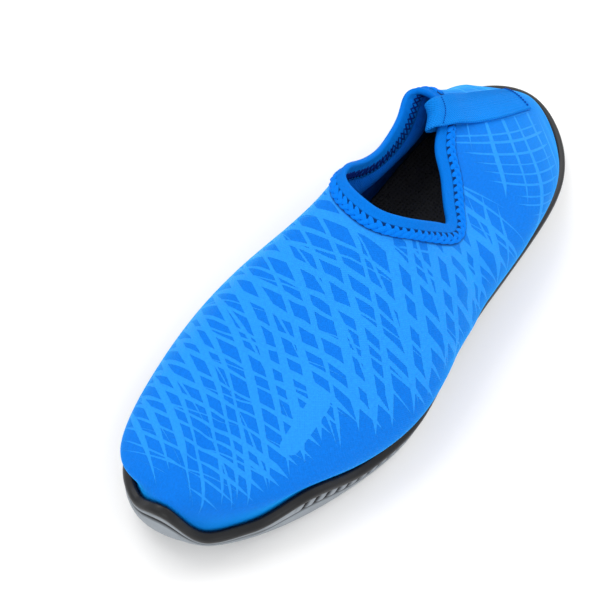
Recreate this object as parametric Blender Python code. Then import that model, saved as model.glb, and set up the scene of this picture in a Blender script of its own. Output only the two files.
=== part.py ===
"""Slip-on water shoe, left foot: a hollow neoprene upper in a rubber cup sole.

Lengths are metres. The toe points along -Y, the heel along +Y, the inner
side of the foot is -X and the outer side +X, and the sole stands on z = 0.
The origin is the middle of the heel's flat spot on the ground.
"""
import math

import bmesh
import bpy
import numpy as np
from mathutils import Matrix, Vector

# Driving dimensions
LENGTH = 0.270            # of the last; the sole's tip stands 2 mm short of it
BALL_WIDTH = 0.096        # outsole across the ball
INSTEP_HEIGHT = 0.073     # ground to the top of the throat
HEEL_SEAT = 0.035         # back of the heel to the middle of its flat spot
WALL = 0.0025             # neoprene with its knit faces
COLLAR_WALL = 0.0012      # the same, skived thin for the hem
SKIVE_START = 0.60        # shares of the upper's height between which it thins
SKIVE_END = 0.84
CLEARANCE = 0.0003        # gap between pieces that are glued
HEM_TUCK = 0.6            # share of the clearance by which the wall's lower edge leans in
FOLD_CLEARANCE = 0.0004   # gap inside a folded hem, over the bends of the collar
SOLE_THICKNESS = 0.0045   # footbed above the tread
SIDE_HEIGHT = 0.0145      # tread to the top of the bead
TOE_SPRING = 0.0155       # rise of the tread's tip
ARCH_RISE = 0.003         # rise of the tread under the arch
BEAD_SPRING = 0.010       # rise of the bead at the toe
SCALLOP_RISE = 0.0060     # humps of the bead over the toes
BEAD_WIDTH = 0.0042
BEAD_HEIGHT = 0.0046
TREAD_INSET = 0.0062      # tread's edge inside the outline
SIDE_INSET = 0.0011       # sole's side inside the outline
TREAD_ROLL = 0.0007       # rise of the tread's rolled edge
SIDE_TURN = 0.0030        # rise at which that edge turns upright
LIP_HEIGHT = 0.0006       # swelling of the side just under the bead
GROOVE_RISE = 0.58        # groove between the tread and the bead, as a share
SIDE_GROOVE_DEPTH = 0.0009
SIDE_GROOVE_WIDTH = 0.0012
LUG_PITCH = 0.0125
LUG_START = 0.05          # first lug and the lugged stretch, as shares of LENGTH
LUG_SPAN = 0.90
LUG_GROOVE_WIDTH = 0.0020
LUG_GROOVE_DEPTH = 0.0016
LUG_SLANT = math.radians(9.0)
SLIT_WIDTH = 0.0010       # slits in the sole's side, one to each lug
SLIT_DEPTH = 0.0010
SLIT_LEAN = math.radians(28.0)
INSOLE_THICKNESS = 0.0032
BINDING_THICKNESS = 0.0007
BINDING_DEPTH = 0.0065
FOLD_ROUND = 0.3          # fold's rounding, as a share of its reach
WEBBING_WIDTH = 0.0162
WEBBING_THICKNESS = 0.0013
LOOP_REACH = 0.0065        # loop beyond the collar
LOOP_RADIUS = 0.0030
LOOP_INNER_LEG = 0.014    # end sewn inside the heel
WEBBING_START = 0.34      # webbing's flat stretch up the heel, as shares of the upper's height there
WEBBING_END = 0.72
# Webbing's climb over the hem: share of BINDING_DEPTH below the edge, share of the climb
WEBBING_CLIMB = ((1.7, 0.0), (1.15, 0.7), (0.8, 1.0))

# Ribs of the upper, heel first, then round by the outer side and the toe.
# foot: outline of the sole. belly: out from that outline and up from the bead.
# waist of the rib: a point halfway. collar: the edge of the opening.
# Along is a share of LENGTH from the heel, across and out of BALL_WIDTH, up and height of INSTEP_HEIGHT.
RIB_COLUMNS = ("foot_along", "foot_across", "belly_out", "belly_up",
               "mid_along", "mid_across", "mid_height",
               "collar_along", "collar_across", "collar_height")
RIBS = (
    (0.000, -0.02, -0.070, 0.07, 0.130, -0.105, 0.510, 0.229, -0.180, 0.70),
    (0.035, 0.190, -0.065, 0.07, 0.148, 0.125, 0.500, 0.278, -0.100, 0.685),
    (0.110, 0.340, -0.040, 0.09, 0.193, 0.310, 0.490, 0.312, -0.008, 0.67),
    (0.220, 0.400, -0.01, 0.12, 0.267, 0.390, 0.480, 0.350, 0.082, 0.67),
    (0.350, 0.425, 0.004, 0.13, 0.352, 0.410, 0.505, 0.378, 0.148, 0.690),
    (0.480, 0.468, 0.004, 0.13, 0.437, 0.405, 0.575, 0.400, 0.172, 0.745),
    (0.610, 0.530, 0.005, 0.13, 0.522, 0.375, 0.655, 0.420, 0.158, 0.82),
    (0.720, 0.490, -0.005, 0.13, 0.600, 0.302, 0.680, 0.438, 0.140, 0.885),
    (0.820, 0.405, -0.03, 0.17, 0.675, 0.215, 0.670, 0.456, 0.112, 0.94),
    (0.905, 0.300, -0.055, 0.15, 0.725, 0.125, 0.630, 0.472, 0.070, 0.975),
    (0.970, 0.150, -0.095, 0.175, 0.755, 0.035, 0.600, 0.485, 0.020, 1.00),
    (0.993, -0.050, -0.100, 0.18, 0.765, -0.060, 0.585, 0.491, -0.050, 1.00),
    (0.970, -0.200, -0.006, 0.145, 0.750, -0.145, 0.600, 0.489, -0.125, 0.995),
    (0.915, -0.310, 0.012, 0.13, 0.715, -0.230, 0.630, 0.482, -0.188, 0.975),
    (0.830, -0.390, 0.00, 0.13, 0.660, -0.300, 0.680, 0.467, -0.250, 0.945),
    (0.720, -0.430, 0.00, 0.13, 0.590, -0.340, 0.690, 0.441, -0.281, 0.905),
    (0.590, -0.415, 0.00, 0.13, 0.505, -0.330, 0.630, 0.404, -0.275, 0.805),
    (0.460, -0.370, 0.00, 0.13, 0.415, -0.285, 0.500, 0.360, -0.268, 0.725),
    (0.330, -0.350, 0.005, 0.12, 0.320, -0.262, 0.440, 0.315, -0.285, 0.675),
    (0.200, -0.360, 0.00, 0.12, 0.230, -0.265, 0.450, 0.272, -0.312, 0.69),
    (0.090, -0.310, -0.03, 0.10, 0.152, -0.265, 0.510, 0.236, -0.338, 0.73),
    (0.025, -0.190, -0.070, 0.07, 0.128, -0.190, 0.505, 0.217, -0.270, 0.725),
)
TOE_RIB = 11

# Scallops of the bead: rib at the middle, ribs to each side, share of SCALLOP_RISE
SCALLOPS = ((10.6, 0.9, 1.5), (9.85, 0.85, -0.55), (11.6, 1.5, 0.55), (8.0, 1.05, 1.4))

# Bead's section from its foot inside, round the outside: share of BEAD_WIDTH in, share of BEAD_HEIGHT up
BEAD_PROFILE = ((1.00, 0.06), (0.55, 0.0), (0.12, 0.22), (0.0, 0.52), (0.13, 0.84), (0.50, 1.0), (0.88, 0.93))

# Insole's edge: metres in from its widest, share of INSOLE_THICKNESS up
INSOLE_EDGE = ((0.0004, 0.0), (0.0, 0.3), (0.0, 0.7), (0.0008, 1.0))

# Tread along the sole: share of LENGTH, share of ARCH_RISE, share of TOE_SPRING
TREAD = (
    (0.00, 0.0, 0.0), (0.06, 0.0, 0.0), (0.31, 0.0, 0.0), (0.43, 1.0, 0.0),
    (0.54, 0.0, 0.0), (0.74, 0.0, 0.0), (0.84, 0.0, 0.16), (0.92, 0.0, 0.48), (1.00, 0.0, 1.0),
)

COLUMNS_ROUND = 80        # facets round the shoe
CAP_FACETS = 4            # facets across the tread, footbed and insole
CUP_ROWS = 2              # rows of the upper inside the cup
HIGH_ROWS = 10            # rows from the bead to the collar

COLOURS = {
    "outsole_grey": ((0.40, 0.42, 0.45), 0.55),
    "bead_charcoal": ((0.035, 0.035, 0.04), 0.38),
    "insole_black": ((0.01, 0.01, 0.012), 0.85),
    "knit_blue": ((0.0, 0.22, 0.90), 0.62),
    "binding_blue": ((0.0, 0.19, 0.80), 0.62),
    "webbing_blue": ((0.0, 0.17, 0.78), 0.7),
}


def clear_scene():
    """Remove what the file holds, so that the shoe stands alone."""
    for thing in list(bpy.data.objects):
        bpy.data.objects.remove(thing, do_unlink=True)


def material(name):
    """A plain Principled material in one of the shoe's colours."""
    colour, roughness = COLOURS[name]
    made = bpy.data.materials.new(name)
    made.use_nodes = True
    shader = made.node_tree.nodes["Principled BSDF"]
    shader.inputs["Base Color"].default_value = (*colour, 1.0)
    shader.inputs["Roughness"].default_value = roughness
    shader.inputs["Metallic"].default_value = 0.0
    return made


def periodic_spline(knots, values, where):
    """Closed cubic spline: values at knots, the last knot meeting the first."""
    steps = np.diff(knots)
    count = len(steps)
    values = values[:count]
    matrix = np.zeros((count, count))
    right = np.zeros((count, values.shape[1]))
    for i in range(count):
        before, after = steps[i - 1], steps[i]
        matrix[i, i] = 2.0 * (before + after)
        matrix[i, i - 1] += after
        matrix[i, (i + 1) % count] += before
        back = (values[i] - values[i - 1]) / before
        ahead = (values[(i + 1) % count] - values[i]) / after
        right[i] = 3.0 * (after * back + before * ahead)
    slopes = np.linalg.solve(matrix, right)
    where = np.mod(where, knots[-1])
    span = np.clip(np.searchsorted(knots, where, side="right") - 1, 0, count - 1)
    share = ((where - knots[span]) / steps[span])[:, None]
    width = steps[span][:, None]
    after = (span + 1) % count
    return hermite(values[span], values[after], slopes[span] * width, slopes[after] * width, share)


def hermite(start, end, start_slope, end_slope, share):
    """Cubic from start to end with the given slopes, at a share of the way."""
    square, cube = share ** 2, share ** 3
    return ((2 * cube - 3 * square + 1) * start + (cube - 2 * square + share) * start_slope
            + (3 * square - 2 * cube) * end + (cube - square) * end_slope)


def rib_knots():
    """Places of the ribs round the shoe, spaced by the root of their distance along the sole."""
    table = np.array(RIBS)
    foot = table[:, :2] * (LENGTH, BALL_WIDTH)
    closed = np.vstack([foot, foot[:1]])
    return np.concatenate([[0.0], np.cumsum(np.sqrt(np.linalg.norm(np.diff(closed, axis=0), axis=1)))])


KNOTS = rib_knots()


def round_places(count):
    """Even places round the shoe between neighbouring ribs, the heel first."""
    return np.interp(np.arange(count) * (len(RIBS) / count), np.arange(len(RIBS) + 1), KNOTS)


def ribs_at(where):
    """Table columns at any place round the shoe, as real lengths."""
    scales = np.array([LENGTH, BALL_WIDTH, BALL_WIDTH, INSTEP_HEIGHT,
                       LENGTH, BALL_WIDTH, INSTEP_HEIGHT, LENGTH, BALL_WIDTH, INSTEP_HEIGHT])
    rows = periodic_spline(KNOTS, np.array(RIBS) * scales, where)
    return {name: rows[:, i] for i, name in enumerate(RIB_COLUMNS)}


def outline(where, inset=0.0):
    """Sole outline moved inwards by inset, as along and across."""
    step = KNOTS[-1] / 4000.0
    here, ahead, behind = ribs_at(where), ribs_at(where + step), ribs_at(where - step)
    tangent = np.stack([ahead["foot_along"] - behind["foot_along"],
                        ahead["foot_across"] - behind["foot_across"]], axis=1)
    tangent /= np.linalg.norm(tangent, axis=1)[:, None]
    outward = np.stack([-tangent[:, 1], tangent[:, 0]], axis=1)
    return np.stack([here["foot_along"], here["foot_across"]], axis=1) - outward * np.reshape(inset, (-1, 1))


def rise_along(along, arch, spring):
    """Height along the sole: flat heel and ball, raised arch, curve up to the toe."""
    table = np.array(TREAD)
    heights = table[:, 1] * arch + table[:, 2] * spring
    share = np.clip(along / LENGTH, 0.0, 1.0)
    row = np.clip(np.searchsorted(table[:, 0], share, side="right") - 1, 0, len(table) - 2)
    width = table[row + 1, 0] - table[row, 0]
    part = (share - table[row, 0]) / width
    slopes = np.gradient(heights, table[:, 0])
    slopes[heights == 0.0] = 0.0
    return hermite(heights[row], heights[row + 1], slopes[row] * width, slopes[row + 1] * width, part)


def tread_height(along):
    """Height of the tread."""
    return rise_along(along, ARCH_RISE, TOE_SPRING)


def scallop(where, rib, reach):
    """Soft hump of height one over a rib, fading within a number of ribs."""
    place = np.interp(where, KNOTS, np.arange(len(RIBS) + 1))
    away = np.abs((place - rib + len(RIBS) / 2) % len(RIBS) - len(RIBS) / 2)
    return np.where(away < reach, np.cos(0.5 * math.pi * np.clip(away / reach, 0, 1)) ** 2, 0.0)


def bead_line(where):
    """Height of the bead's top round the shoe, without its scallops."""
    return rise_along(ribs_at(where)["foot_along"], ARCH_RISE, BEAD_SPRING) + SIDE_HEIGHT


def bead_top(where):
    """Height of the bead's top round the shoe, with its scallops."""
    humps = sum(rise * scallop(where, rib, reach) for rib, reach, rise in SCALLOPS)
    return bead_line(where) + SCALLOP_RISE * humps


def place(along, across, height):
    """Shoe lengths to a point: along from the heel's back, across to the outer side."""
    return np.stack([across, HEEL_SEAT - along, height], axis=-1)


def natural_spline(points, share):
    """Cubic through stacked points, upright at the first, free at the last."""
    gaps = np.linalg.norm(np.diff(points, axis=0), axis=2)
    knots = np.vstack([np.zeros(gaps.shape[1]), np.cumsum(np.sqrt(gaps), axis=0)])
    count = len(points)
    steps = np.diff(knots, axis=0)
    columns = points.shape[1]
    matrix = np.zeros((columns, count, count))
    right = np.zeros((columns, count, 3))
    chords = np.diff(points, axis=0) / steps[:, :, None]
    matrix[:, 0, 0] = 1.0
    right[:, 0] = np.linalg.norm(chords[0], axis=1)[:, None] * np.array([0.0, 0.0, 1.0])
    for i in range(1, count - 1):
        matrix[:, i, i - 1] = steps[i]
        matrix[:, i, i] = 2.0 * (steps[i - 1] + steps[i])
        matrix[:, i, i + 1] = steps[i - 1]
        right[:, i] = 3.0 * (steps[i][:, None] * chords[i - 1] + steps[i - 1][:, None] * chords[i])
    matrix[:, -1, -2] = 1.0
    matrix[:, -1, -1] = 2.0
    right[:, -1] = 3.0 * chords[-1]
    slopes = np.linalg.solve(matrix, right)
    made = []
    for t in share:
        target = t * knots[-1]
        row = np.clip((knots <= target).sum(axis=0) - 1, 0, count - 2)
        pick = np.arange(columns)
        width = steps[row, pick][:, None]
        part = ((target - knots[row, pick]) / steps[row, pick])[:, None]
        made.append(hermite(points[row, pick], points[row + 1, pick],
                            slopes[pick, row] * width, slopes[pick, row + 1] * width, part))
    return np.array(made)


FOOT_INSET = BEAD_WIDTH + CLEARANCE          # the upper's outer face at the bead
HEM_INSET = FOOT_INSET + HEM_TUCK * CLEARANCE   # and at its lower edge


def footbed_height(along):
    """Top face of the sole inside the cup."""
    return tread_height(along) + SOLE_THICKNESS


def upper_rows(where, shares):
    """Outer face of the upper: rows from the bead up to the collar."""
    rib = ribs_at(where)
    top = bead_top(where)
    foot = outline(where, FOOT_INSET)
    belly = outline(where, -rib["belly_out"])
    points = np.array([
        place(foot[:, 0], foot[:, 1], top),
        place(belly[:, 0], belly[:, 1], bead_line(where) + rib["belly_up"]),
        place(rib["mid_along"], rib["mid_across"], rib["mid_height"]),
        place(rib["collar_along"], rib["collar_across"], rib["collar_height"]),
    ])
    return natural_spline(points, shares)


def upper_face(where, shares, offset=0.0):
    """Outer face moved along its normal, as rows of points."""
    step_round, step_up = KNOTS[-1] / 2000.0, 1e-3
    face = upper_rows(where, shares)
    across = upper_rows(where + step_round, shares) - upper_rows(where - step_round, shares)
    upward = (upper_rows(where, np.minimum(shares + step_up, 1.0))
              - upper_rows(where, np.maximum(shares - step_up, 0.0)))
    normal = np.cross(upward, across)
    normal /= np.linalg.norm(normal, axis=2)[:, :, None]
    return face + normal * np.reshape(offset, (-1, 1, 1))


def wall_at(shares):
    """Thickness of the wall at shares of its height: full below, skived at the collar."""
    part = np.clip((shares - SKIVE_START) / (SKIVE_END - SKIVE_START), 0.0, 1.0)
    return WALL + (COLLAR_WALL - WALL) * part * part * (3.0 - 2.0 * part)


def cup_rows(where, inset, rows):
    """Upright rows inside the cup, from the footbed to the bead's top."""
    hem, foot = outline(where, HEM_INSET + inset), outline(where, FOOT_INSET + inset)
    low, top = footbed_height(hem[:, 0]) + CLEARANCE, bead_top(where)
    made = []
    for share in np.linspace(0.0, 1.0, rows, endpoint=False):
        spot = hem + (foot - hem) * share
        made.append(place(spot[:, 0], spot[:, 1], low + (top - low) * share))
    return np.array(made)


def new_object(name, mesh_builder, colour):
    """Object of that name from a bmesh, shaded smooth with its sharp edges kept."""
    mesh = bpy.data.meshes.new(name)
    mesh_builder.to_mesh(mesh)
    mesh_builder.free()
    made = bpy.data.objects.new(name, mesh)
    bpy.context.scene.collection.objects.link(made)
    mesh.materials.append(colour)
    mesh.shade_smooth()
    mesh.set_sharp_from_angle(angle=math.radians(40.0))
    return made


def cap(made, loop, level):
    """Close a loop with rows across the shoe, at the height that level gives along it."""
    half = len(loop) // 2
    rows = [[loop[0]]]
    for i in range(1, half):
        start, end = loop[i].co, loop[-i].co
        inner = []
        for share in np.linspace(0.0, 1.0, CAP_FACETS + 1)[1:-1]:
            spot = start.lerp(end, share)
            spot.z = float(level(np.array([HEEL_SEAT - spot.y]))[0])
            inner.append(made.verts.new(spot))
        rows.append([loop[i], *inner, loop[-i]])
    rows.append([loop[half]])
    for near, far in zip(rows, rows[1:]):
        for i in range(CAP_FACETS):
            corners = [near[min(i, len(near) - 1)], far[min(i, len(far) - 1)],
                       far[min(i + 1, len(far) - 1)], near[min(i + 1, len(near) - 1)]]
            made.faces.new(list(dict.fromkeys(corners)))


def ring_solid(name, rings, colour, levels=None):
    """Closed body from rings of points: joined end to end, or capped at the two heights of levels."""
    made = bmesh.new()
    loops = [[made.verts.new(point) for point in ring] for ring in rings]
    count = len(loops[0])
    pairs = list(zip(loops, loops[1:])) + ([] if levels else [(loops[-1], loops[0])])
    for lower, upper in pairs:
        for i in range(count):
            j = (i + 1) % count
            made.faces.new((lower[i], lower[j], upper[j], upper[i]))
    if levels:
        cap(made, loops[0], levels[0])
        cap(made, loops[-1], levels[1])
    bmesh.ops.recalc_face_normals(made, faces=made.faces)
    if made.calc_volume(signed=True) < 0.0:
        bmesh.ops.reverse_faces(made, faces=made.faces)
    return new_object(name, made, colour)


def ring(where, inset, height):
    """Ring at an inset from the outline and a height, which may vary round the shoe."""
    spot = outline(where, inset)
    return place(spot[:, 0], spot[:, 1], height + 0.0 * where)


def build_upper(where, colour):
    """One hollow wall: outer face up to the collar, inner face back down, open above and below."""
    shares = np.linspace(0.0, 1.0, HIGH_ROWS + 1)
    outer = list(cup_rows(where, 0.0, CUP_ROWS)) + list(upper_face(where, shares))
    inner = list(cup_rows(where, WALL, CUP_ROWS)) + list(upper_face(where, shares, -wall_at(shares)))
    return ring_solid("upper", outer + inner[::-1], colour)


def build_rim(where, colour):
    """Rolled bead round the upper's foot, on top of the sole's side."""
    top = bead_top(where)
    rings = [ring(where, BEAD_WIDTH * depth, top - CLEARANCE - BEAD_HEIGHT * (1.0 - rise))
             for depth, rise in BEAD_PROFILE]
    return ring_solid("rim", rings, colour)


def side_heights(where):
    """Heights of the tread's edge, the side groove and the shelf under the bead."""
    tread = tread_height(outline(where, TREAD_INSET)[:, 0])
    shelf = bead_top(where) - BEAD_HEIGHT - 2.0 * CLEARANCE
    return tread, tread + GROOVE_RISE * (shelf - tread), shelf


def build_outsole(where, colour):
    """Rubber cup: flat heel and ball, arch, toe spring, a grooved side and a footbed."""
    tread, groove, shelf = side_heights(where)
    inner = HEM_INSET - CLEARANCE
    bed = footbed_height(outline(where, inner)[:, 0])
    rings = [
        ring(where, TREAD_INSET, tread),
        ring(where, 0.5 * TREAD_INSET, tread + TREAD_ROLL),
        ring(where, 1.2 * SIDE_INSET, tread + SIDE_TURN),
        ring(where, SIDE_INSET, groove - 0.5 * SIDE_GROOVE_WIDTH),
        ring(where, SIDE_INSET + SIDE_GROOVE_DEPTH, groove),
        ring(where, SIDE_INSET, groove + 0.5 * SIDE_GROOVE_WIDTH),
        ring(where, 0.7 * SIDE_INSET, shelf - LIP_HEIGHT),
        ring(where, SIDE_INSET, shelf),
        ring(where, inner, shelf),
        ring(where, inner, bed),
    ]
    return ring_solid("outsole", rings, colour, levels=(tread_height, footbed_height))


def build_insole(where, colour):
    """Flat sock of mesh foam on the footbed, inside the wall."""
    inset = HEM_INSET + WALL + CLEARANCE

    def under(along):
        return footbed_height(along) + CLEARANCE

    def over(along):
        return under(along) + INSOLE_THICKNESS

    rings = []
    for depth, rise in INSOLE_EDGE:
        along = outline(where, inset + depth)[:, 0]
        rings.append(ring(where, inset + depth, under(along) + rise * INSOLE_THICKNESS))
    return ring_solid("insole", rings, colour, levels=(under, over))


def collar_frame(where):
    """Edge of the collar, the way past it and the outward normal."""
    shares = np.array([1.0])
    edge = upper_rows(where, shares)[0]
    onward = edge - upper_rows(where, shares - 1e-3)[0]
    onward /= np.linalg.norm(onward, axis=1)[:, None]
    normal = upper_face(where, shares, 1.0)[0] - edge
    return edge, onward, normal


def faces_below_collar(where, distance, offset):
    """Points a distance down from the collar on the outer face, moved out by offset."""
    shares = np.linspace(0.55, 1.0, 91)
    face = upper_face(where, shares, offset)
    bare = upper_rows(where, shares)
    steps = np.linalg.norm(np.diff(bare, axis=0), axis=2)
    left = np.vstack([np.cumsum(steps[::-1], axis=0)[::-1], np.zeros(len(where))])
    made = np.empty((len(where), 3))
    for i in range(len(where)):
        for axis in range(3):
            made[i, axis] = np.interp(distance, left[::-1, i], face[::-1, i, axis])
    return made


def build_binding(where, colour):
    """Folded hem over the collar's edge: an outer leg, a rounded fold and an inner leg."""
    near, far = FOLD_CLEARANCE, FOLD_CLEARANCE + BINDING_THICKNESS
    edge, onward, normal = collar_frame(where)

    def fold(out, past):
        return edge + normal * out + onward * past

    rings = [
        faces_below_collar(where, BINDING_DEPTH, near),
        faces_below_collar(where, BINDING_DEPTH, far),
        faces_below_collar(where, 0.5 * BINDING_DEPTH, far),
        fold(far, 0.0),
        fold(FOLD_ROUND * far, far),
        fold(-COLLAR_WALL - FOLD_ROUND * far, far),
        fold(-COLLAR_WALL - far, 0.0),
        faces_below_collar(where, 0.5 * BINDING_DEPTH, -COLLAR_WALL - far),
        faces_below_collar(where, BINDING_DEPTH, -COLLAR_WALL - far),
        faces_below_collar(where, BINDING_DEPTH, -COLLAR_WALL - near),
        faces_below_collar(where, 0.5 * BINDING_DEPTH, -COLLAR_WALL - near),
        fold(-COLLAR_WALL - near, near),
        fold(near, near),
        faces_below_collar(where, 0.5 * BINDING_DEPTH, near),
    ]
    return ring_solid("collar_binding", rings, colour)


def build_pull_loop(colour):
    """Webbing up the back of the heel, folded into a loop past the collar and sewn inside it."""
    middle = KNOTS[0]
    arms = np.linspace(-0.5, 0.5, 5) * WEBBING_WIDTH
    probe = upper_rows(np.array([middle - 1e-3, middle + 1e-3]), np.array([0.6]))[0]
    per_metre = 2e-3 / np.linalg.norm(probe[1] - probe[0])
    where = middle + arms * per_metre
    rise = CLEARANCE + 0.5 * WEBBING_THICKNESS
    over = rise + BINDING_THICKNESS + FOLD_CLEARANCE
    edge, onward, normal = collar_frame(where)
    shares = np.linspace(WEBBING_START, WEBBING_END, 10)
    path = [upper_face(where, np.array([share]), rise)[0] for share in shares]
    for below, climb in WEBBING_CLIMB:
        path.append(faces_below_collar(where, below * BINDING_DEPTH, rise + climb * (over - rise)))
    path.append(edge + normal * over)
    middle_out = -0.5 * COLLAR_WALL
    for turn in np.linspace(0.0, math.pi, 8):
        out = middle_out + LOOP_RADIUS * math.cos(turn)
        past = LOOP_REACH - LOOP_RADIUS + LOOP_RADIUS * math.sin(turn)
        path.append(edge + normal * out + onward * past)
    path.append(edge - normal * (COLLAR_WALL + over))
    path.append(faces_below_collar(where, WEBBING_CLIMB[-1][0] * BINDING_DEPTH, -COLLAR_WALL - over))
    path.append(faces_below_collar(where, LOOP_INNER_LEG, -COLLAR_WALL - over))
    path = np.array(path)
    half = 0.5 * WEBBING_THICKNESS
    along = np.gradient(path, axis=0)
    sideways = np.gradient(path, axis=1)
    outward = np.cross(along, sideways)
    outward /= np.linalg.norm(outward, axis=2)[:, :, None]
    rings = [np.vstack([row + out * half, (row - out * half)[::-1]]) for row, out in zip(path, outward)]
    made = bmesh.new()
    loops = [[made.verts.new(point) for point in one] for one in rings]
    for lower, upper in zip(loops, loops[1:]):
        for i in range(len(lower)):
            j = (i + 1) % len(lower)
            made.faces.new((lower[i], lower[j], upper[j], upper[i]))
    for loop in (loops[0], loops[-1]):
        last = len(loop) - 1
        for i in range(len(arms) - 1):
            made.faces.new((loop[i], loop[i + 1], loop[last - i - 1], loop[last - i]))
    bmesh.ops.recalc_face_normals(made, faces=made.faces)
    if made.calc_volume(signed=True) < 0.0:
        bmesh.ops.reverse_faces(made, faces=made.faces)
    return new_object("pull_loop", made, colour)


def cutter_bars(name, bars):
    """Hidden cutter made of turned boxes: centre, size and turn about the upright."""
    made = bmesh.new()
    for centre, size, turn, lean in bars:
        spin = Matrix.Rotation(turn, 4, "Z") @ Matrix.Rotation(lean, 4, "X")
        scale = Matrix.Diagonal((*size, 1.0))
        bmesh.ops.create_cube(made, size=1.0, matrix=Matrix.Translation(Vector(centre)) @ spin @ scale)
    mesh = bpy.data.meshes.new(name)
    made.to_mesh(mesh)
    made.free()
    cutter = bpy.data.objects.new(name, mesh)
    bpy.context.scene.collection.objects.link(cutter)
    cutter.hide_render = True
    cutter.display_type = "WIRE"
    return cutter


def cut(body, cutter):
    """Take the cutter away from the body."""
    step = body.modifiers.new(cutter.name, "BOOLEAN")
    step.operation = "DIFFERENCE"
    step.solver = "EXACT"
    step.object = cutter


def lug_places():
    """Distances of the grooves from the heel's back."""
    count = int(LUG_SPAN * LENGTH / LUG_PITCH)
    return LUG_START * LENGTH + (np.arange(count) + 0.5) * LUG_PITCH


def lug_grooves():
    """Slanted grooves across the tread, between the main lugs."""
    bars = []
    for along in lug_places():
        height, ahead = tread_height(np.array([along, along + LUG_GROOVE_WIDTH]))
        lean = -math.atan2(ahead - height, LUG_GROOVE_WIDTH)
        size = (1.3 * BALL_WIDTH, LUG_GROOVE_WIDTH, 2.0 * LUG_GROOVE_DEPTH)
        bars.append(((0.0, HEEL_SEAT - along, height), size, LUG_SLANT, lean))
    return cutter_bars("lug_groove_cutter", bars)


def side_slits():
    """Leaning slits in both sides of the sole, between its groove and the bead."""
    bars = []
    ribs = np.arange(len(RIBS) + 1)
    outer_side = np.interp(np.linspace(0, TOE_RIB, 200), ribs, KNOTS)
    inner_side = np.interp(np.linspace(len(RIBS), TOE_RIB, 200), ribs, KNOTS)
    places = lug_places() + 0.5 * LUG_PITCH
    for side, hand in ((outer_side, 1.0), (inner_side, -1.0)):
        where = np.interp(places, ribs_at(side)["foot_along"], side)
        spot, inside = outline(where, SIDE_INSET), outline(where, SIDE_INSET + SLIT_DEPTH)
        groove, shelf = side_heights(where)[1:]
        for i in range(len(where)):
            inward = inside[i] - spot[i]
            turn = math.atan2(-inward[0], inward[1])
            height = 0.5 * (groove[i] + shelf[i] + SIDE_GROOVE_WIDTH)
            centre = (spot[i, 1], HEEL_SEAT - spot[i, 0], height)
            size = (2.0 * SLIT_DEPTH, SLIT_WIDTH, 0.62 * (shelf[i] - groove[i]))
            bars.append((centre, size, turn, hand * SLIT_LEAN))
    return cutter_bars("side_slit_cutter", bars)


def main():
    clear_scene()
    colours = {name: material(name) for name in COLOURS}
    where = round_places(COLUMNS_ROUND)
    outsole = build_outsole(where, colours["outsole_grey"])
    cut(outsole, lug_grooves())
    cut(outsole, side_slits())
    build_rim(where, colours["bead_charcoal"])
    build_insole(where, colours["insole_black"])
    build_upper(where, colours["knit_blue"])
    build_binding(where, colours["binding_blue"])
    build_pull_loop(colours["webbing_blue"])


main()
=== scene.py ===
"""Looks of a slip-on water shoe for the left foot: printed knit upper in a rubber cup sole.

Lengths are metres in the frame of the part: toe along -Y, outer side +X, the sole on z = 0.
"""
import math

import bpy
import numpy as np
from bpy.props import FloatProperty, FloatVectorProperty, PointerProperty
from mathutils import Matrix, Vector


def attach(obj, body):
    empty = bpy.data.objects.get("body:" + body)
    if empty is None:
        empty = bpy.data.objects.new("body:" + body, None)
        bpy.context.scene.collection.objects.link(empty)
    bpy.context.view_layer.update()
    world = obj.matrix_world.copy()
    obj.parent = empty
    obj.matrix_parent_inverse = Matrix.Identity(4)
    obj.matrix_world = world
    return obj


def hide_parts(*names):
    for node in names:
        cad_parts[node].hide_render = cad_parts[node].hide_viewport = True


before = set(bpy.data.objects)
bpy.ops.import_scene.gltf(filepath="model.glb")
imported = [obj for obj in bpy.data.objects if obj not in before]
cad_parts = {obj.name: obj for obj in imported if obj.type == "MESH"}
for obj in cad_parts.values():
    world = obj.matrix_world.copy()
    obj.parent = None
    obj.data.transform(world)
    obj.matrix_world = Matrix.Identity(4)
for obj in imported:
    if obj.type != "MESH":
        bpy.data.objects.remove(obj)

bl_info = {
    "name": "Water Shoe",
    "version": (1, 0, 0),
    "blender": (4, 5, 0),
    "location": "3D View > Sidebar > Water Shoe",
    "description": "Builds the visible pieces of a slip-on water shoe over its frame",
    "category": "Mesh",
}

# Sizes of the frame
LENGTH = 0.270
BALL_WIDTH = 0.096
INSTEP_HEIGHT = 0.073
HEEL_SEAT = 0.035
WALL = 0.0025
COLLAR_WALL = 0.0012
SKIVE_START = 0.60
SKIVE_END = 0.84
CLEARANCE = 0.0003
FOLD_CLEARANCE = 0.0004
SOLE_THICKNESS = 0.0045
SIDE_HEIGHT = 0.0145
TOE_SPRING = 0.0155
ARCH_RISE = 0.003
BEAD_SPRING = 0.010
SCALLOP_RISE = 0.0060
BEAD_WIDTH = 0.0042
BEAD_HEIGHT = 0.0046
TREAD_INSET = 0.0062
SIDE_INSET = 0.0011
GROOVE_RISE = 0.58
LUG_PITCH = 0.0125
LUG_START = 0.05
LUG_SPAN = 0.90
LUG_GROOVE_WIDTH = 0.0020
LUG_GROOVE_DEPTH = 0.0016
LUG_SLANT = math.radians(9.0)
BINDING_THICKNESS = 0.0007
BINDING_DEPTH = 0.0065
WEBBING_WIDTH = 0.0162
WEBBING_THICKNESS = 0.0013
LOOP_REACH = 0.0065
LOOP_RADIUS = 0.0030
LOOP_INNER_LEG = 0.014
WEBBING_START = 0.34
WEBBING_TOP = 0.58
SKIN = 0.0002             # hem off the wall it wraps
PLAIT_LINE = 0.0052       # collar's edge to the middle of the coverstitch
LINING_HEM = 0.0095       # depth of the hem's inner leg
FOOT_INSET = BEAD_WIDTH + CLEARANCE
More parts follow.
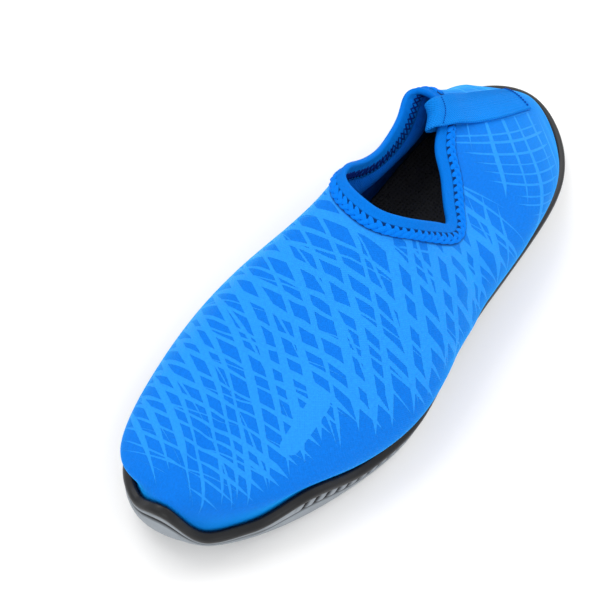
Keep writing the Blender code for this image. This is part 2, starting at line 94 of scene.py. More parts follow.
HEM_INSET = FOOT_INSET + 0.6 * CLEARANCE

# Ribs of the upper, heel first, then round by the outer side and the toe.
# foot: outline of the sole. belly: out from that outline and up from the bead.
# mid: a point halfway. collar: the edge of the opening.
RIB_COLUMNS = ("foot_along", "foot_across", "belly_out", "belly_up",
               "mid_along", "mid_across", "mid_height",
               "collar_along", "collar_across", "collar_height")
RIBS = (
    (0.000, -0.02, -0.070, 0.07, 0.130, -0.105, 0.510, 0.229, -0.180, 0.70),
    (0.035, 0.190, -0.065, 0.07, 0.148, 0.125, 0.500, 0.278, -0.100, 0.685),
    (0.110, 0.340, -0.040, 0.09, 0.193, 0.310, 0.490, 0.312, -0.008, 0.67),
    (0.220, 0.400, -0.01, 0.12, 0.267, 0.390, 0.480, 0.350, 0.082, 0.67),
    (0.350, 0.425, 0.004, 0.13, 0.352, 0.410, 0.505, 0.378, 0.148, 0.690),
    (0.480, 0.468, 0.004, 0.13, 0.437, 0.405, 0.575, 0.400, 0.172, 0.745),
    (0.610, 0.530, 0.005, 0.13, 0.522, 0.375, 0.655, 0.420, 0.158, 0.82),
    (0.720, 0.490, -0.005, 0.13, 0.600, 0.302, 0.680, 0.438, 0.140, 0.885),
    (0.820, 0.405, -0.03, 0.17, 0.675, 0.215, 0.670, 0.456, 0.112, 0.94),
    (0.905, 0.300, -0.055, 0.15, 0.725, 0.125, 0.630, 0.472, 0.070, 0.975),
    (0.970, 0.150, -0.095, 0.175, 0.755, 0.035, 0.600, 0.485, 0.020, 1.00),
    (0.993, -0.050, -0.100, 0.18, 0.765, -0.060, 0.585, 0.491, -0.050, 1.00),
    (0.970, -0.200, -0.006, 0.145, 0.750, -0.145, 0.600, 0.489, -0.125, 0.995),
    (0.915, -0.310, 0.012, 0.13, 0.715, -0.230, 0.630, 0.482, -0.188, 0.975),
    (0.830, -0.390, 0.00, 0.13, 0.660, -0.300, 0.680, 0.467, -0.250, 0.945),
    (0.720, -0.430, 0.00, 0.13, 0.590, -0.340, 0.690, 0.441, -0.281, 0.905),
    (0.590, -0.415, 0.00, 0.13, 0.505, -0.330, 0.630, 0.404, -0.275, 0.805),
    (0.460, -0.370, 0.00, 0.13, 0.415, -0.285, 0.500, 0.360, -0.268, 0.725),
    (0.330, -0.350, 0.005, 0.12, 0.320, -0.262, 0.440, 0.315, -0.285, 0.675),
    (0.200, -0.360, 0.00, 0.12, 0.230, -0.265, 0.450, 0.272, -0.312, 0.69),
    (0.090, -0.310, -0.03, 0.10, 0.152, -0.265, 0.510, 0.236, -0.338, 0.73),
    (0.025, -0.190, -0.070, 0.07, 0.128, -0.190, 0.505, 0.217, -0.270, 0.725),
)
# Scallops of the bead: rib at the middle, ribs to each side, share of SCALLOP_RISE
SCALLOPS = ((10.6, 0.9, 1.5), (9.85, 0.85, -0.55), (11.6, 1.5, 0.55), (8.0, 1.05, 1.4))
# Bead's section from its foot inside, round the outside: share of its width in, share of its height up
BEAD_PROFILE = ((1.00, 0.06), (0.55, 0.0), (0.12, 0.22), (0.0, 0.52), (0.13, 0.84), (0.50, 1.0), (0.88, 0.93))
# Tread along the sole: share of LENGTH, share of ARCH_RISE, share of TOE_SPRING
TREAD = (
    (0.00, 0.0, 0.0), (0.06, 0.0, 0.0), (0.31, 0.0, 0.0), (0.43, 1.0, 0.0),
    (0.54, 0.0, 0.0), (0.74, 0.0, 0.0), (0.84, 0.0, 0.16), (0.92, 0.0, 0.48), (1.00, 0.0, 1.0),
)

# Soft troughs (deep above zero) and ridges (below zero) of the upper, each along a straight run:
# rib and share of the height at its start, the same at its end, half width and depth in millimetres
CREASES = (
    (14.6, 0.93, 12.6, 0.42, 6.0, 0.9),
    (4.55, 0.96, 4.85, 0.58, 3.4, 1.6),
    (3.9, 0.88, 4.3, 0.55, 4.5, -0.8),
    (5.3, 0.88, 5.4, 0.58, 4.5, -0.7),
    (13.6, 0.90, 11.8, 0.50, 7.0, -0.5),
    (4.55, 0.42, 5.6, 0.62, 3.4, 0.9),
    (4.85, 0.34, 6.0, 0.50, 3.0, -0.7),
    (4.35, 0.55, 5.1, 0.80, 3.6, 0.8),
    (5.2, 0.30, 6.3, 0.40, 3.0, 0.6),
    (17.0, 0.55, 18.6, 0.40, 4.5, 0.8),
    (16.2, 0.45, 18.0, 0.30, 4.5, -0.6),
    (18.6, 0.62, 19.8, 0.50, 4.0, 0.7),
    (1.4, 0.30, 3.2, 0.36, 5.0, 0.6),
    (20.4, 0.32, 21.4, 0.28, 4.0, 0.7),
    (0.7, 0.20, 1.6, 0.22, 3.0, 0.4),
)
# View: side of the picture, focal length and place of the target in it in pixels, sensor in millimetres
PICTURE = 600.0
FOCAL = 1994.79
AIM = (361.17, 292.44)
SENSOR = 36.0
# Bare patch of plain print: place along and round its middle, turn, half length of its straight part, radius
PATCH = (207.8, 26.0, math.radians(12.9), 9.5, 4.1)
# Families of printed stripes, lengths in millimetres: angle in degrees, pitch, narrowest, widest, span of a
# swelling, bow, how ragged their ends are, length of their taper, seed
VAMP_STRIPES = (
    (48.0, 8.8, 1.6, 5.0, 64.0, 0.2, 8.0, 15.0, 3.0),
    (99.0, 7.8, 1.4, 4.4, 56.0, -0.2, 9.0, 15.0, 8.0),
    (60.0, 21.0, 0.3, 2.2, 40.0, 0.3, 8.0, 14.0, 5.0),
    (108.0, 16.0, 0.2, 1.6, 44.0, 0.3, 9.0, 12.0, 12.0),
)
HEEL_STRIPES = (
    (3.0, 5.0, 0.6, 1.3, 90.0, 0.8, 7.0, 5.0, 2.0),
    (84.0, 10.0, 0.5, 2.6, 52.0, -2.0, 8.0, 6.0, 6.0),
)
BOW_LENGTH = 50.0         # millimetres along a stripe at which it has bowed by its bow
STRIPE_SHIFT = 0.34       # how far a stripe may stray, as a share of the pitch
SEED_SHIFT = 7.31         # stripes by which a family is moved on for each whole seed
PRINT_EDGE = 0.16         # softness of the print's edge, millimetres
PACK_START = 110.0        # millimetres from the heel from which the stripes close up
PACK_RATE = 0.0022
ARC_LINE = 11.6           # millimetres below the collar of the arc under the plait
WRAP_RADIUS = 40.0        # millimetres of print for one radian round the shoe's long axis
AXIS_HEIGHT = 0.012       # height of that axis, and how far it drops at the heel
AXIS_DROP = 0.020
HALF_ROUND = 11.0         # ribs from the heel to the toe
RIB_WIDTH = 20.0          # millimetres of print for each rib at the heel
# Threads, in metres: a plait's puff and its swelling, the width that the puffs take, and the inner zigzag
PUFF_RADIUS = 0.00104
PUFF_SWELL = 0.00030
PUFF_WIDTH = 0.0024
ZIGZAG_SWING = 0.0020
ZIGZAG_RADIUS = 0.00030
# Cuts in the rubber, in metres: the line over the groove, the one under the bead, the groove at the toe
LINE_DEPTH = 0.0007
UNDERCUT_DEPTH = 0.0006
TOE_GROOVE_DEPTH = 0.0009
SLIT_LEAN = 0.50          # slits by which the top of one stands on from its foot
SIPE_PITCH = 0.00417
SIPE_SWING = 0.0012       # how far a sipe zigzags, and over what width
SIPE_STEP = 0.009
SIPE_DEPTH = 0.0007
# Height above the bead at which the print runs out, round the shoe: rib, millimetres
PRINT_ENDS = ((0, 13), (2, 13), (4, 10), (5.5, 12), (7, 20), (8, 15), (9, 8), (10, 4), (11, 6),
              (12, 8), (14, 9), (17, 10), (20, 12), (22, 13))


def colour(red, green, blue):
    """Linear colour from the 0 to 255 values of a screen."""
    shares = np.array([red, green, blue]) / 255.0
    linear = np.where(shares <= 0.04045, shares / 12.92, ((shares + 0.055) / 1.055) ** 2.4)
    return tuple(float(v) for v in linear)


# Surfaces of the last


def hermite(start, end, start_slope, end_slope, share):
    """Cubic from start to end with the given slopes, at a share of the way."""
    square, cube = share ** 2, share ** 3
    return ((2 * cube - 3 * square + 1) * start + (cube - 2 * square + share) * start_slope
            + (3 * square - 2 * cube) * end + (cube - square) * end_slope)


def periodic_spline(knots, values, where):
    """Closed cubic spline: values at knots, the last knot meeting the first."""
    steps = np.diff(knots)
    count = len(steps)
    values = values[:count]
    matrix = np.zeros((count, count))
    right = np.zeros((count, values.shape[1]))
    for i in range(count):
        before, after = steps[i - 1], steps[i]
        matrix[i, i] = 2.0 * (before + after)
        matrix[i, i - 1] += after
        matrix[i, (i + 1) % count] += before
        back = (values[i] - values[i - 1]) / before
        ahead = (values[(i + 1) % count] - values[i]) / after
        right[i] = 3.0 * (after * back + before * ahead)
    slopes = np.linalg.solve(matrix, right)
    where = np.mod(where, knots[-1])
    span = np.clip(np.searchsorted(knots, where, side="right") - 1, 0, count - 1)
    share = ((where - knots[span]) / steps[span])[:, None]
    width = steps[span][:, None]
    after = (span + 1) % count
    return hermite(values[span], values[after], slopes[span] * width, slopes[after] * width, share)


def rib_knots():
    """Places of the ribs round the shoe, spaced by the root of their distance along the sole."""
    foot = np.array(RIBS)[:, :2] * (LENGTH, BALL_WIDTH)
    closed = np.vstack([foot, foot[:1]])
    return np.concatenate([[0.0], np.cumsum(np.sqrt(np.linalg.norm(np.diff(closed, axis=0), axis=1)))])


KNOTS = rib_knots()
RIB_NUMBERS = np.arange(len(RIBS) + 1)


def at_rib(rib):
    """Place round the shoe of a rib number, which may lie between two."""
    return np.interp(rib, RIB_NUMBERS, KNOTS)


def rib_of(where):
    """Rib number of a place round the shoe."""
    return np.interp(np.mod(where, KNOTS[-1]), KNOTS, RIB_NUMBERS)


def ribs_at(where):
    """Table columns at any place round the shoe, as real lengths."""
    scales = np.array([LENGTH, BALL_WIDTH, BALL_WIDTH, INSTEP_HEIGHT,
                       LENGTH, BALL_WIDTH, INSTEP_HEIGHT, LENGTH, BALL_WIDTH, INSTEP_HEIGHT])
    rows = periodic_spline(KNOTS, np.array(RIBS) * scales, where)
    return {name: rows[:, i] for i, name in enumerate(RIB_COLUMNS)}


def outline(where, inset=0.0):
    """Sole outline moved inwards by inset, as along and across."""
    step = KNOTS[-1] / 4000.0
    here, ahead, behind = ribs_at(where), ribs_at(where + step), ribs_at(where - step)
    tangent = np.stack([ahead["foot_along"] - behind["foot_along"],
                        ahead["foot_across"] - behind["foot_across"]], axis=1)
    tangent = unit(tangent)
    outward = np.stack([-tangent[:, 1], tangent[:, 0]], axis=1)
    return np.stack([here["foot_along"], here["foot_across"]], axis=1) - outward * np.reshape(inset, (-1, 1))


def rise_along(along, arch, spring):
    """Height along the sole: flat heel and ball, raised arch, curve up to the toe."""
    table = np.array(TREAD)
    heights = table[:, 1] * arch + table[:, 2] * spring
    share = np.clip(along / LENGTH, 0.0, 1.0)
    row = np.clip(np.searchsorted(table[:, 0], share, side="right") - 1, 0, len(table) - 2)
    width = table[row + 1, 0] - table[row, 0]
    part = (share - table[row, 0]) / width
    slopes = np.gradient(heights, table[:, 0])
    slopes[heights == 0.0] = 0.0
    return hermite(heights[row], heights[row + 1], slopes[row] * width, slopes[row + 1] * width, part)


def tread_height(along):
    """Height of the tread."""
    return rise_along(along, ARCH_RISE, TOE_SPRING)


def bead_line(where):
    """Height of the bead's top round the shoe, without its scallops."""
    return rise_along(ribs_at(where)["foot_along"], ARCH_RISE, BEAD_SPRING) + SIDE_HEIGHT


def bead_top(where):
    """Height of the bead's top: its line plus one squared cosine hump for each scallop."""
    made = bead_line(where)
    for rib, reach, rise in SCALLOPS:
        away = np.abs((rib_of(where) - rib + len(RIBS) / 2) % len(RIBS) - len(RIBS) / 2)
        hump = np.where(away < reach, np.cos(0.5 * math.pi * np.clip(away / reach, 0, 1)) ** 2, 0.0)
        made = made + SCALLOP_RISE * rise * hump
    return made


def unit(vectors):
    """Vectors drawn to length one."""
    return vectors / np.linalg.norm(vectors, axis=-1, keepdims=True)


def place(along, across, height):
    """Shoe lengths to a point: along from the heel's back, across to the outer side."""
    return np.stack([across, HEEL_SEAT - along, height], axis=-1)


def natural_spline(points, share):
    """Cubic through stacked points, upright at the first, free at the last.

    Each share is one number for all columns, or one for each.
    """
    gaps = np.linalg.norm(np.diff(points, axis=0), axis=2)
    knots = np.vstack([np.zeros(gaps.shape[1]), np.cumsum(np.sqrt(gaps), axis=0)])
    count = len(points)
    steps = np.diff(knots, axis=0)
    columns = points.shape[1]
    matrix = np.zeros((columns, count, count))
    right = np.zeros((columns, count, 3))
    chords = np.diff(points, axis=0) / steps[:, :, None]
    matrix[:, 0, 0] = 1.0
    right[:, 0] = np.linalg.norm(chords[0], axis=1)[:, None] * np.array([0.0, 0.0, 1.0])
    for i in range(1, count - 1):
        matrix[:, i, i - 1] = steps[i]
        matrix[:, i, i] = 2.0 * (steps[i - 1] + steps[i])
        matrix[:, i, i + 1] = steps[i - 1]
        right[:, i] = 3.0 * (steps[i][:, None] * chords[i - 1] + steps[i - 1][:, None] * chords[i])
    matrix[:, -1, -2] = 1.0
    matrix[:, -1, -1] = 2.0
    right[:, -1] = 3.0 * chords[-1]
    slopes = np.linalg.solve(matrix, right)
    made = []
    pick = np.arange(columns)
    for t in share:
        target = t * knots[-1]
        row = np.clip((knots <= target).sum(axis=0) - 1, 0, count - 2)
        width = steps[row, pick][:, None]
        part = ((target - knots[row, pick]) / steps[row, pick])[:, None]
        made.append(hermite(points[row, pick], points[row + 1, pick],
                            slopes[pick, row] * width, slopes[pick, row + 1] * width, part))
    return np.array(made)


def upper_rows(where, shares):
    """Outer face of the upper: a natural spline from the bead over the belly and the middle to the collar."""
    rib = ribs_at(where)
    foot = outline(where, FOOT_INSET)
    belly = outline(where, -rib["belly_out"])
    points = np.array([
        place(foot[:, 0], foot[:, 1], bead_top(where)),
        place(belly[:, 0], belly[:, 1], bead_line(where) + rib["belly_up"]),
        place(rib["mid_along"], rib["mid_across"], rib["mid_height"]),
        place(rib["collar_along"], rib["collar_across"], rib["collar_height"]),
    ])
    return natural_spline(points, shares)


def upper_normal(where, shares):
    """Outward normal of the upper: cross product of its two slopes."""
    step_round, step_up = KNOTS[-1] / 2000.0, 1e-3
    across = upper_rows(where + step_round, shares) - upper_rows(where - step_round, shares)
    upward = (upper_rows(where, np.minimum(shares + step_up, 1.0))
              - upper_rows(where, np.maximum(shares - step_up, 0.0)))
    return unit(np.cross(upward, across))


def wall_at(shares):
    """Thickness of the wall at shares of its height: full below, skived at the collar."""
    return WALL + (COLLAR_WALL - WALL) * smooth_step(shares, SKIVE_START, SKIVE_END)


def collar_run(where, shares):
    """Distance along the upper from each share up to the collar."""
    steps = np.linalg.norm(np.diff(upper_rows(where, shares), axis=0), axis=2)
    return np.vstack([np.cumsum(steps[::-1], axis=0)[::-1], np.zeros(len(where))])


def share_below(where, distance):
    """Share of the height that lies a distance below the collar, for each place."""
    shares = np.linspace(0.35, 1.0, 131)
    left = collar_run(where, shares)
    distance = np.broadcast_to(distance, where.shape)
    after = np.clip((left > distance).sum(axis=0), 1, len(shares) - 1)
    pick = np.arange(len(where))
    near, far = left[after, pick], left[after - 1, pick]
    return shares[after] - (distance - near) / (far - near) * (shares[1] - shares[0])


def below_collar(where, distance, offset):
    """Points a distance below the collar, moved out along the normal by offset."""
    shares = share_below(where, distance)[None]
    lift = np.broadcast_to(offset, where.shape)[:, None]
    return upper_rows(where, shares)[0] + upper_normal(where, shares)[0] * lift


def collar_frame(where):
    """Edge of the collar, the way past it and the outward normal."""
    top = np.array([1.0])
    edge = upper_rows(where, top)[0]
    onward = edge - upper_rows(where, top - 1e-3)[0]
    return edge, unit(onward), upper_normal(where, top)[0]


def even_places(count, line):
    """Places round the shoe evenly spaced along a line on it, and the line's length."""
    fine = np.linspace(0.0, KNOTS[-1], 4001)
    run = np.concatenate([[0.0], np.cumsum(np.linalg.norm(np.diff(line(fine), axis=0), axis=1))])
    return np.interp(np.arange(count) * run[-1] / count, run, fine), run[-1]


def even_collar(count):
    """Places evenly spaced along the collar, and its length."""
    return even_places(count, lambda where: upper_rows(where, np.array([1.0]))[0])


def even_foot(count):
    """Places evenly spaced along the sole's outline, and its length."""
    return even_places(count, outline)


def smooth_step(value, low, high):
    """Zero below low, one above high, a cubic between."""
    share = np.clip((value - low) / (high - low), 0.0, 1.0)
    return share * share * (3.0 - 2.0 * share)


def crease_depth(points, strength):
    """Depth of the creases in metres, as a sum of bells.

    Each crease is exp(-(distance / half width)^2) round a straight run, and fades at its ends.
    """
    made = np.zeros(points.shape[:-1])
    for rib_a, up_a, rib_b, up_b, half_width, depth in CREASES:
        start = upper_rows(np.array([at_rib(rib_a)]), np.array([up_a]))[0, 0]
        end = upper_rows(np.array([at_rib(rib_b)]), np.array([up_b]))[0, 0]
        run = end - start
        share = np.clip((points - start) @ run / (run @ run), -0.2, 1.2)
        away = np.linalg.norm(points - (start + share[..., None] * run), axis=-1)
        taper = np.sin(math.pi * np.clip((share + 0.2) / 1.4, 0.0, 1.0)) ** 0.8
        made += 0.001 * depth * strength * taper * np.exp(-(away / (0.001 * half_width)) ** 2)
    return made


# Meshes


def quads_of(spots):
    """Four-sided faces between the neighbours of a grid of point numbers, or of a stack of grids."""
    corners = (spots[..., :-1, :-1], spots[..., :-1, 1:], spots[..., 1:, 1:], spots[..., 1:, :-1])
    return np.stack(corners, axis=-1).reshape(-1, 4)


def linked_mesh(name, points, faces, finish, smooth=True):
    """Object of points and faces in the scene, at the origin."""
    mesh = bpy.data.meshes.new(name)
    mesh.from_pydata(points.reshape(-1, 3).tolist(), [], faces)
    if smooth:
        mesh.shade_smooth()
    mesh.materials.append(finish)
    made = bpy.data.objects.new(name, mesh)
    bpy.context.scene.collection.objects.link(made)
    return made


def surface(name, points, finish, around=True, joined=False, fields=None, caps=False):
    """Mesh from rows of points: around joins the last column to the first, joined the last row to the first.

    caps closes the first and last rows with one face each. fields are named values for each point.
    """
    rows, columns = points.shape[:2]
    spots = np.arange(rows * columns).reshape(rows, columns)
    ends = spots[0, ::-1], spots[-1]
    if joined:
        spots = np.vstack([spots, spots[:1]])
    if around:
        spots = np.hstack([spots, spots[:, :1]])
    quads = quads_of(spots)
    faces = quads.tolist()
    if caps:
        faces += [end.tolist() for end in ends]
    flat = points.reshape(-1, 3)
    corners = flat[quads]
    facing = np.cross(corners[:, 2] - corners[:, 0], corners[:, 3] - corners[:, 1])
    volume = np.einsum("ij,ij->", corners.mean(axis=1) - flat.mean(axis=0), facing)
    if volume < 0.0:
        faces = [face[::-1] for face in faces]
    made = linked_mesh(name, points, faces, finish)
    for label, values in (fields or {}).items():
        layer = made.data.attributes.new(label, "FLOAT_VECTOR", "POINT")
        layer.data.foreach_set("vector", np.asarray(values, dtype=np.float32).ravel())
    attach(made, "root")
    return made


def section_ways(slope, out):
    """The two ways across a thread that runs along slope: sideways, and up towards out."""
    slope = unit(slope)
    side = unit(np.cross(slope, out))
    return side, np.cross(side, slope)


def tube(name, path, out, radius, finish, sides=8, flatten=1.0):
    """Closed thread along a path: a circle carried on the frame of the path's slope and the way out."""
    side, up = section_ways(np.roll(path, -1, axis=0) - np.roll(path, 1, axis=0), out)
    turn = np.arange(sides) * 2.0 * math.pi / sides
    ring = (np.cos(turn)[None, :, None] * side[:, None] + np.sin(turn)[None, :, None] * up[:, None] * flatten)
    points = path[:, None] + ring * np.reshape(radius, (-1, 1, 1))
    return surface(name, points, finish, joined=True)


def stitches(name, starts, ends, out, radius, lift, finish):
    """Short threads from starts to ends: seven rings each, bowed outwards by lift and closed to points."""
    rings, sides = 7, 6
    share = np.linspace(0.0, 1.0, rings)
    bow = np.sin(math.pi * share)
    thick = np.sqrt(np.clip(bow, 0.03, 1.0))
    run = ends - starts
    side, up = section_ways(run, out)
    turn = np.arange(sides) * math.pi / 3.0
    middle = starts[:, None] + run[:, None] * share[None, :, None]
    middle = middle + out[:, None] * (lift * bow)[None, :, None]
    ring = side[:, None] * np.cos(turn)[None, :, None] + up[:, None] * np.sin(turn)[None, :, None]
    points = middle[:, :, None] + ring[:, None] * (radius * thick)[None, :, None, None]
    spots = np.arange(points.size // 3).reshape(len(starts), rings, sides)
    faces = quads_of(np.concatenate([spots, spots[:, :, :1]], axis=2)).tolist()
    faces += spots[:, 0, ::-1].tolist() + spots[:, -1].tolist()
    made = linked_mesh(name, points, faces, finish)
    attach(made, "root")
    return made


# Finishes


class Value:
    """Number in a shader tree. Each sum made with it adds one Math node."""

    def __init__(self, tree, socket):
        self.tree, self.socket = tree, socket

    def join(self, operation, *others, clamp=False):
        return maths(self.tree, operation, self, *others, clamp=clamp)

    def __add__(self, other):
        return self.join("ADD", other)

    def __sub__(self, other):
        return self.join("SUBTRACT", other)

    def __rsub__(self, other):
        return maths(self.tree, "SUBTRACT", other, self)

    def __mul__(self, other):
        return self.join("MULTIPLY", other)

    def __truediv__(self, other):
        return self.join("DIVIDE", other)

    def __abs__(self):
        return self.join("ABSOLUTE")

    def share_of(self, whole):
        """Quotient held between 0 and 1."""
        return self.join("DIVIDE", whole, clamp=True)

    def spread(self, low, high, to_low=0.0, to_high=1.0):
        """Value between low and high laid over another range, held at its ends."""
        node = self.tree.nodes.new("ShaderNodeMapRange")
        for slot, number in enumerate((self, low, high, to_low, to_high)):
            put(node.inputs[slot], number)
        return Value(self.tree, node.outputs[0])


def put(socket, value):
    """Join a socket to a value or another socket, or set the number that it holds."""
    if isinstance(value, Value):
        value = value.socket
    if isinstance(value, bpy.types.NodeSocket):
        socket.id_data.links.new(value, socket)
    else:
        socket.default_value = value


def maths(tree, operation, *values, clamp=False):
    """Math node on values or numbers."""
    node = tree.nodes.new("ShaderNodeMath")
    node.operation = operation
    node.use_clamp = clamp
    for slot, value in enumerate(values):
        put(node.inputs[slot], value)
    return Value(tree, node.outputs[0])


def mixed(tree, share, low, high):
    """Colour between low and high."""
    node = tree.nodes.new("ShaderNodeMix")
    node.data_type = "RGBA"
    put(node.inputs["Factor"], share)
    put(node.inputs[6], low)
    put(node.inputs[7], high)
    return node.outputs[2]


def noise(tree, vector, scale, detail=3.0, roughness=0.5):
    """Noise of that scale in a space counted in millimetres or metres."""
    node = tree.nodes.new("ShaderNodeTexNoise")
    put(node.inputs["Vector"], vector)
    put(node.inputs["Scale"], scale)
    put(node.inputs["Detail"], detail)
    put(node.inputs["Roughness"], roughness)
    return Value(tree, node.outputs["Fac"])


def field(tree, name):
    """The three parts of a vector field that the piece carries."""
    node = tree.nodes.new("ShaderNodeAttribute")
    node.attribute_name = name
    parts = tree.nodes.new("ShaderNodeSeparateXYZ")
    tree.links.new(node.outputs["Vector"], parts.inputs[0])
    return [Value(tree, socket) for socket in parts.outputs]


def object_place(tree):
    """Place in the piece's own frame."""
    return tree.nodes.new("ShaderNodeTexCoord").outputs["Object"]


def new_group(name, inputs, outputs):
    """Empty shader group of number sockets; gives the group, its given values and its results' sockets."""
    group = bpy.data.node_groups.new(name, "ShaderNodeTree")
    for label, default in inputs.items():
        kind = "NodeSocketVector" if default is None else "NodeSocketFloat"
        socket = group.interface.new_socket(label, in_out="INPUT", socket_type=kind)
        if default is not None:
            socket.default_value = default
    for label in outputs:
        group.interface.new_socket(label, in_out="OUTPUT", socket_type="NodeSocketFloat")
    ends = group.nodes.new("NodeGroupInput").outputs, group.nodes.new("NodeGroupOutput").inputs
    return group, {label: Value(group, ends[0][label]) for label in inputs}, ends[1]


def use_group(tree, name, **values):
    """Results of a group placed in a tree with its own values."""
    node = tree.nodes.new("ShaderNodeGroup")
    node.node_tree = bpy.data.node_groups[name]
    for label, value in values.items():
        put(node.inputs[label], value)
    return {socket.name: Value(tree, socket) for socket in node.outputs}


def tapered_stripes():
    """Group: one family of long stripes that swell and taper, and end in spikes where the fade runs out.

    Along the stripe q = along cos a + wrap sin a, across it p = wrap cos a - along sin a, bowed by q squared.
    The whole part of p over the pitch numbers a stripe, and white noise of that number gives its shift,
    the phase of its swelling and how far it reaches.
    """
    group, given, made = new_group(
        "tapered_stripes",
        {"Along": 0.0, "Wrap": 0.0, "Fade": 10.0, "Angle": 0.5, "Pitch": 10.0, "Narrow": 0.5, "Wide": 4.0,
         "Span": 60.0, "Bow": 2.0, "Ragged": 12.0, "Taper": 14.0, "Seed": 1.0}, ["Mask"])
    along, wrap, fade, angle, pitch, narrow, wide, span, bow, ragged, taper, seed = given.values()
    cosine, sine = angle.join("COSINE"), angle.join("SINE")
    q = along * cosine + wrap * sine
    p = wrap * cosine - along * sine
    cell = (p + bow * (q / BOW_LENGTH).join("POWER", 2.0)) / pitch + seed * SEED_SHIFT
    stripe = cell.join("FLOOR")
    chance = group.nodes.new("ShaderNodeTexWhiteNoise")
    chance.noise_dimensions = "1D"
    put(chance.inputs["W"], stripe + seed)
    parts = group.nodes.new("ShaderNodeSeparateColor")
    group.links.new(chance.outputs["Color"], parts.inputs[0])
    first, second, third = (Value(group, socket) for socket in parts.outputs)
    swell = (q / span + second * 2.0).join("PINGPONG", 1.0)
    width = narrow + (wide - narrow) * swell
    half = width * (fade - third * ragged).share_of(taper) * 0.5
    away = abs(cell - stripe - 0.5 - (first - 0.5) * STRIPE_SHIFT) * pitch
    put(made["Mask"], (half - away).share_of(PRINT_EDGE))


def knit_grain():
    """Group: fine knit. Height is the product of two sines of the gauge, roughened by noise."""
    group, given, made = new_group("knit_grain", {"Along": 0.0, "Wrap": 0.0, "Gauge": 0.9, "Fuzz": 0.5},
                                   ["Height", "Mottle"])
    along, wrap, gauge, fuzz = given.values()
    turn = maths(group, "DIVIDE", 2.0 * math.pi, gauge)
    spot = group.nodes.new("ShaderNodeCombineXYZ")
    put(spot.inputs[0], along)
    put(spot.inputs[1], wrap)
    loops = (along * turn).join("SINE") * (wrap * turn).join("SINE")
    put(made["Height"], loops + noise(group, spot.outputs[0], 1.7, 5.0, 0.8) * fuzz)
    put(made["Mottle"], noise(group, spot.outputs[0], 0.8, 6.0, 0.85))


def rubber_grain():
    """Group: moulded rubber. Fine pitted grain and broad cloudy wear, both from noise of the place."""
    group, given, made = new_group("rubber_grain", {"Place": None, "Grain": 1800.0}, ["Height", "Wear"])
    put(made["Height"], noise(group, given["Place"], given["Grain"]))
    put(made["Wear"], noise(group, given["Place"], 90.0, 5.0, 0.65))


def new_finish(name):
    """Material with its tree and its Principled shader."""
    made = bpy.data.materials.new(name)
    made.use_nodes = True
    return made, made.node_tree, made.node_tree.nodes["Principled BSDF"]


def bump(tree, shader, height, distance, strength=1.0, under=None):
    """Bump of that distance in metres into the shader's normal, over another bump if one is given."""
    node = tree.nodes.new("ShaderNodeBump")
    put(node.inputs["Distance"], distance)
    put(node.inputs["Strength"], strength)
    put(node.inputs["Height"], height)
    if under is not None:
        tree.links.new(under, node.inputs["Normal"])
    tree.links.new(node.outputs[0], shader.inputs["Normal"])
    return node.outputs[0]


def solid_colour(values, scale=1.0):
    """Colour of a property as four numbers, scaled and held at white."""
    return (*(min(value * scale, 1.0) for value in values), 1.0)


def matt_look(shader, roughness, specular, sheen=None, sheen_roughness=0.4):
    """Numbers that are the same all over a matt finish, and the faint sheen of a knit."""
    put(shader.inputs["Roughness"], roughness)
    put(shader.inputs["Specular IOR Level"], specular)
    if sheen is not None:
        put(shader.inputs["Sheen Weight"], 0.1)
        put(shader.inputs["Sheen Roughness"], sheen_roughness)
        put(shader.inputs["Sheen Tint"], solid_colour(sheen))


def pill(along, wrap):
    """Mask of the bare patch: one within its radius of a straight run."""
    middle, level, turn, half, radius = PATCH
    off, over = along - middle, wrap - level
    run = off * math.cos(turn) + over * math.sin(turn)
    side = abs(over * math.cos(turn) - off * math.sin(turn))
    past = (abs(run) - half).join("MAXIMUM", 0.0)
    away = (past.join("POWER", 2.0) + side.join("POWER", 2.0)).join("SQRT")
    return (radius - away).share_of(0.2)


def print_mask(along, wrap, below, fade, rib):
    """Where the knit is printed: families of stripes over the vamp and the heel, an arc and the bare patch.

    Towards the toe the vamp's stripes are packed closer, as the square of the length past PACK_START.
    """
    toeward = (along - PACK_START).join("MAXIMUM", 0.0)
    packed = along + toeward.join("POWER", 2.0) * PACK_RATE
    vamp = packed, wrap, fade.join("MINIMUM", along.spread(70.0, 104.0, -6.0, 40.0))
    round_heel = (HALF_ROUND - abs(rib - HALF_ROUND)) * RIB_WIDTH
    heel = below, round_heel, fade.join("MINIMUM", along.spread(62.0, 84.0, 14.0, -8.0))
    masks = []
    for zone, families in ((vamp, VAMP_STRIPES), (heel, HEEL_STRIPES)):
        for angle, *numbers in families:
            given = dict(zip(("Along", "Wrap", "Fade"), zone), Angle=math.radians(angle))
            given |= dict(zip(("Pitch", "Narrow", "Wide", "Span", "Bow", "Ragged", "Taper", "Seed"), numbers))
            masks.append(use_group(along.tree, "tapered_stripes", **given)["Mask"])
    arc = (0.6 - abs(below - ARC_LINE)).share_of(0.2)
    masks.append(arc * (rib.spread(5.0, 5.6) * rib.spread(8.6, 8.0)))
    masks.append(pill(along, wrap))
    joined = masks[0]
    for one in masks[1:]:
        joined = joined.join("MAXIMUM", one)
    return joined


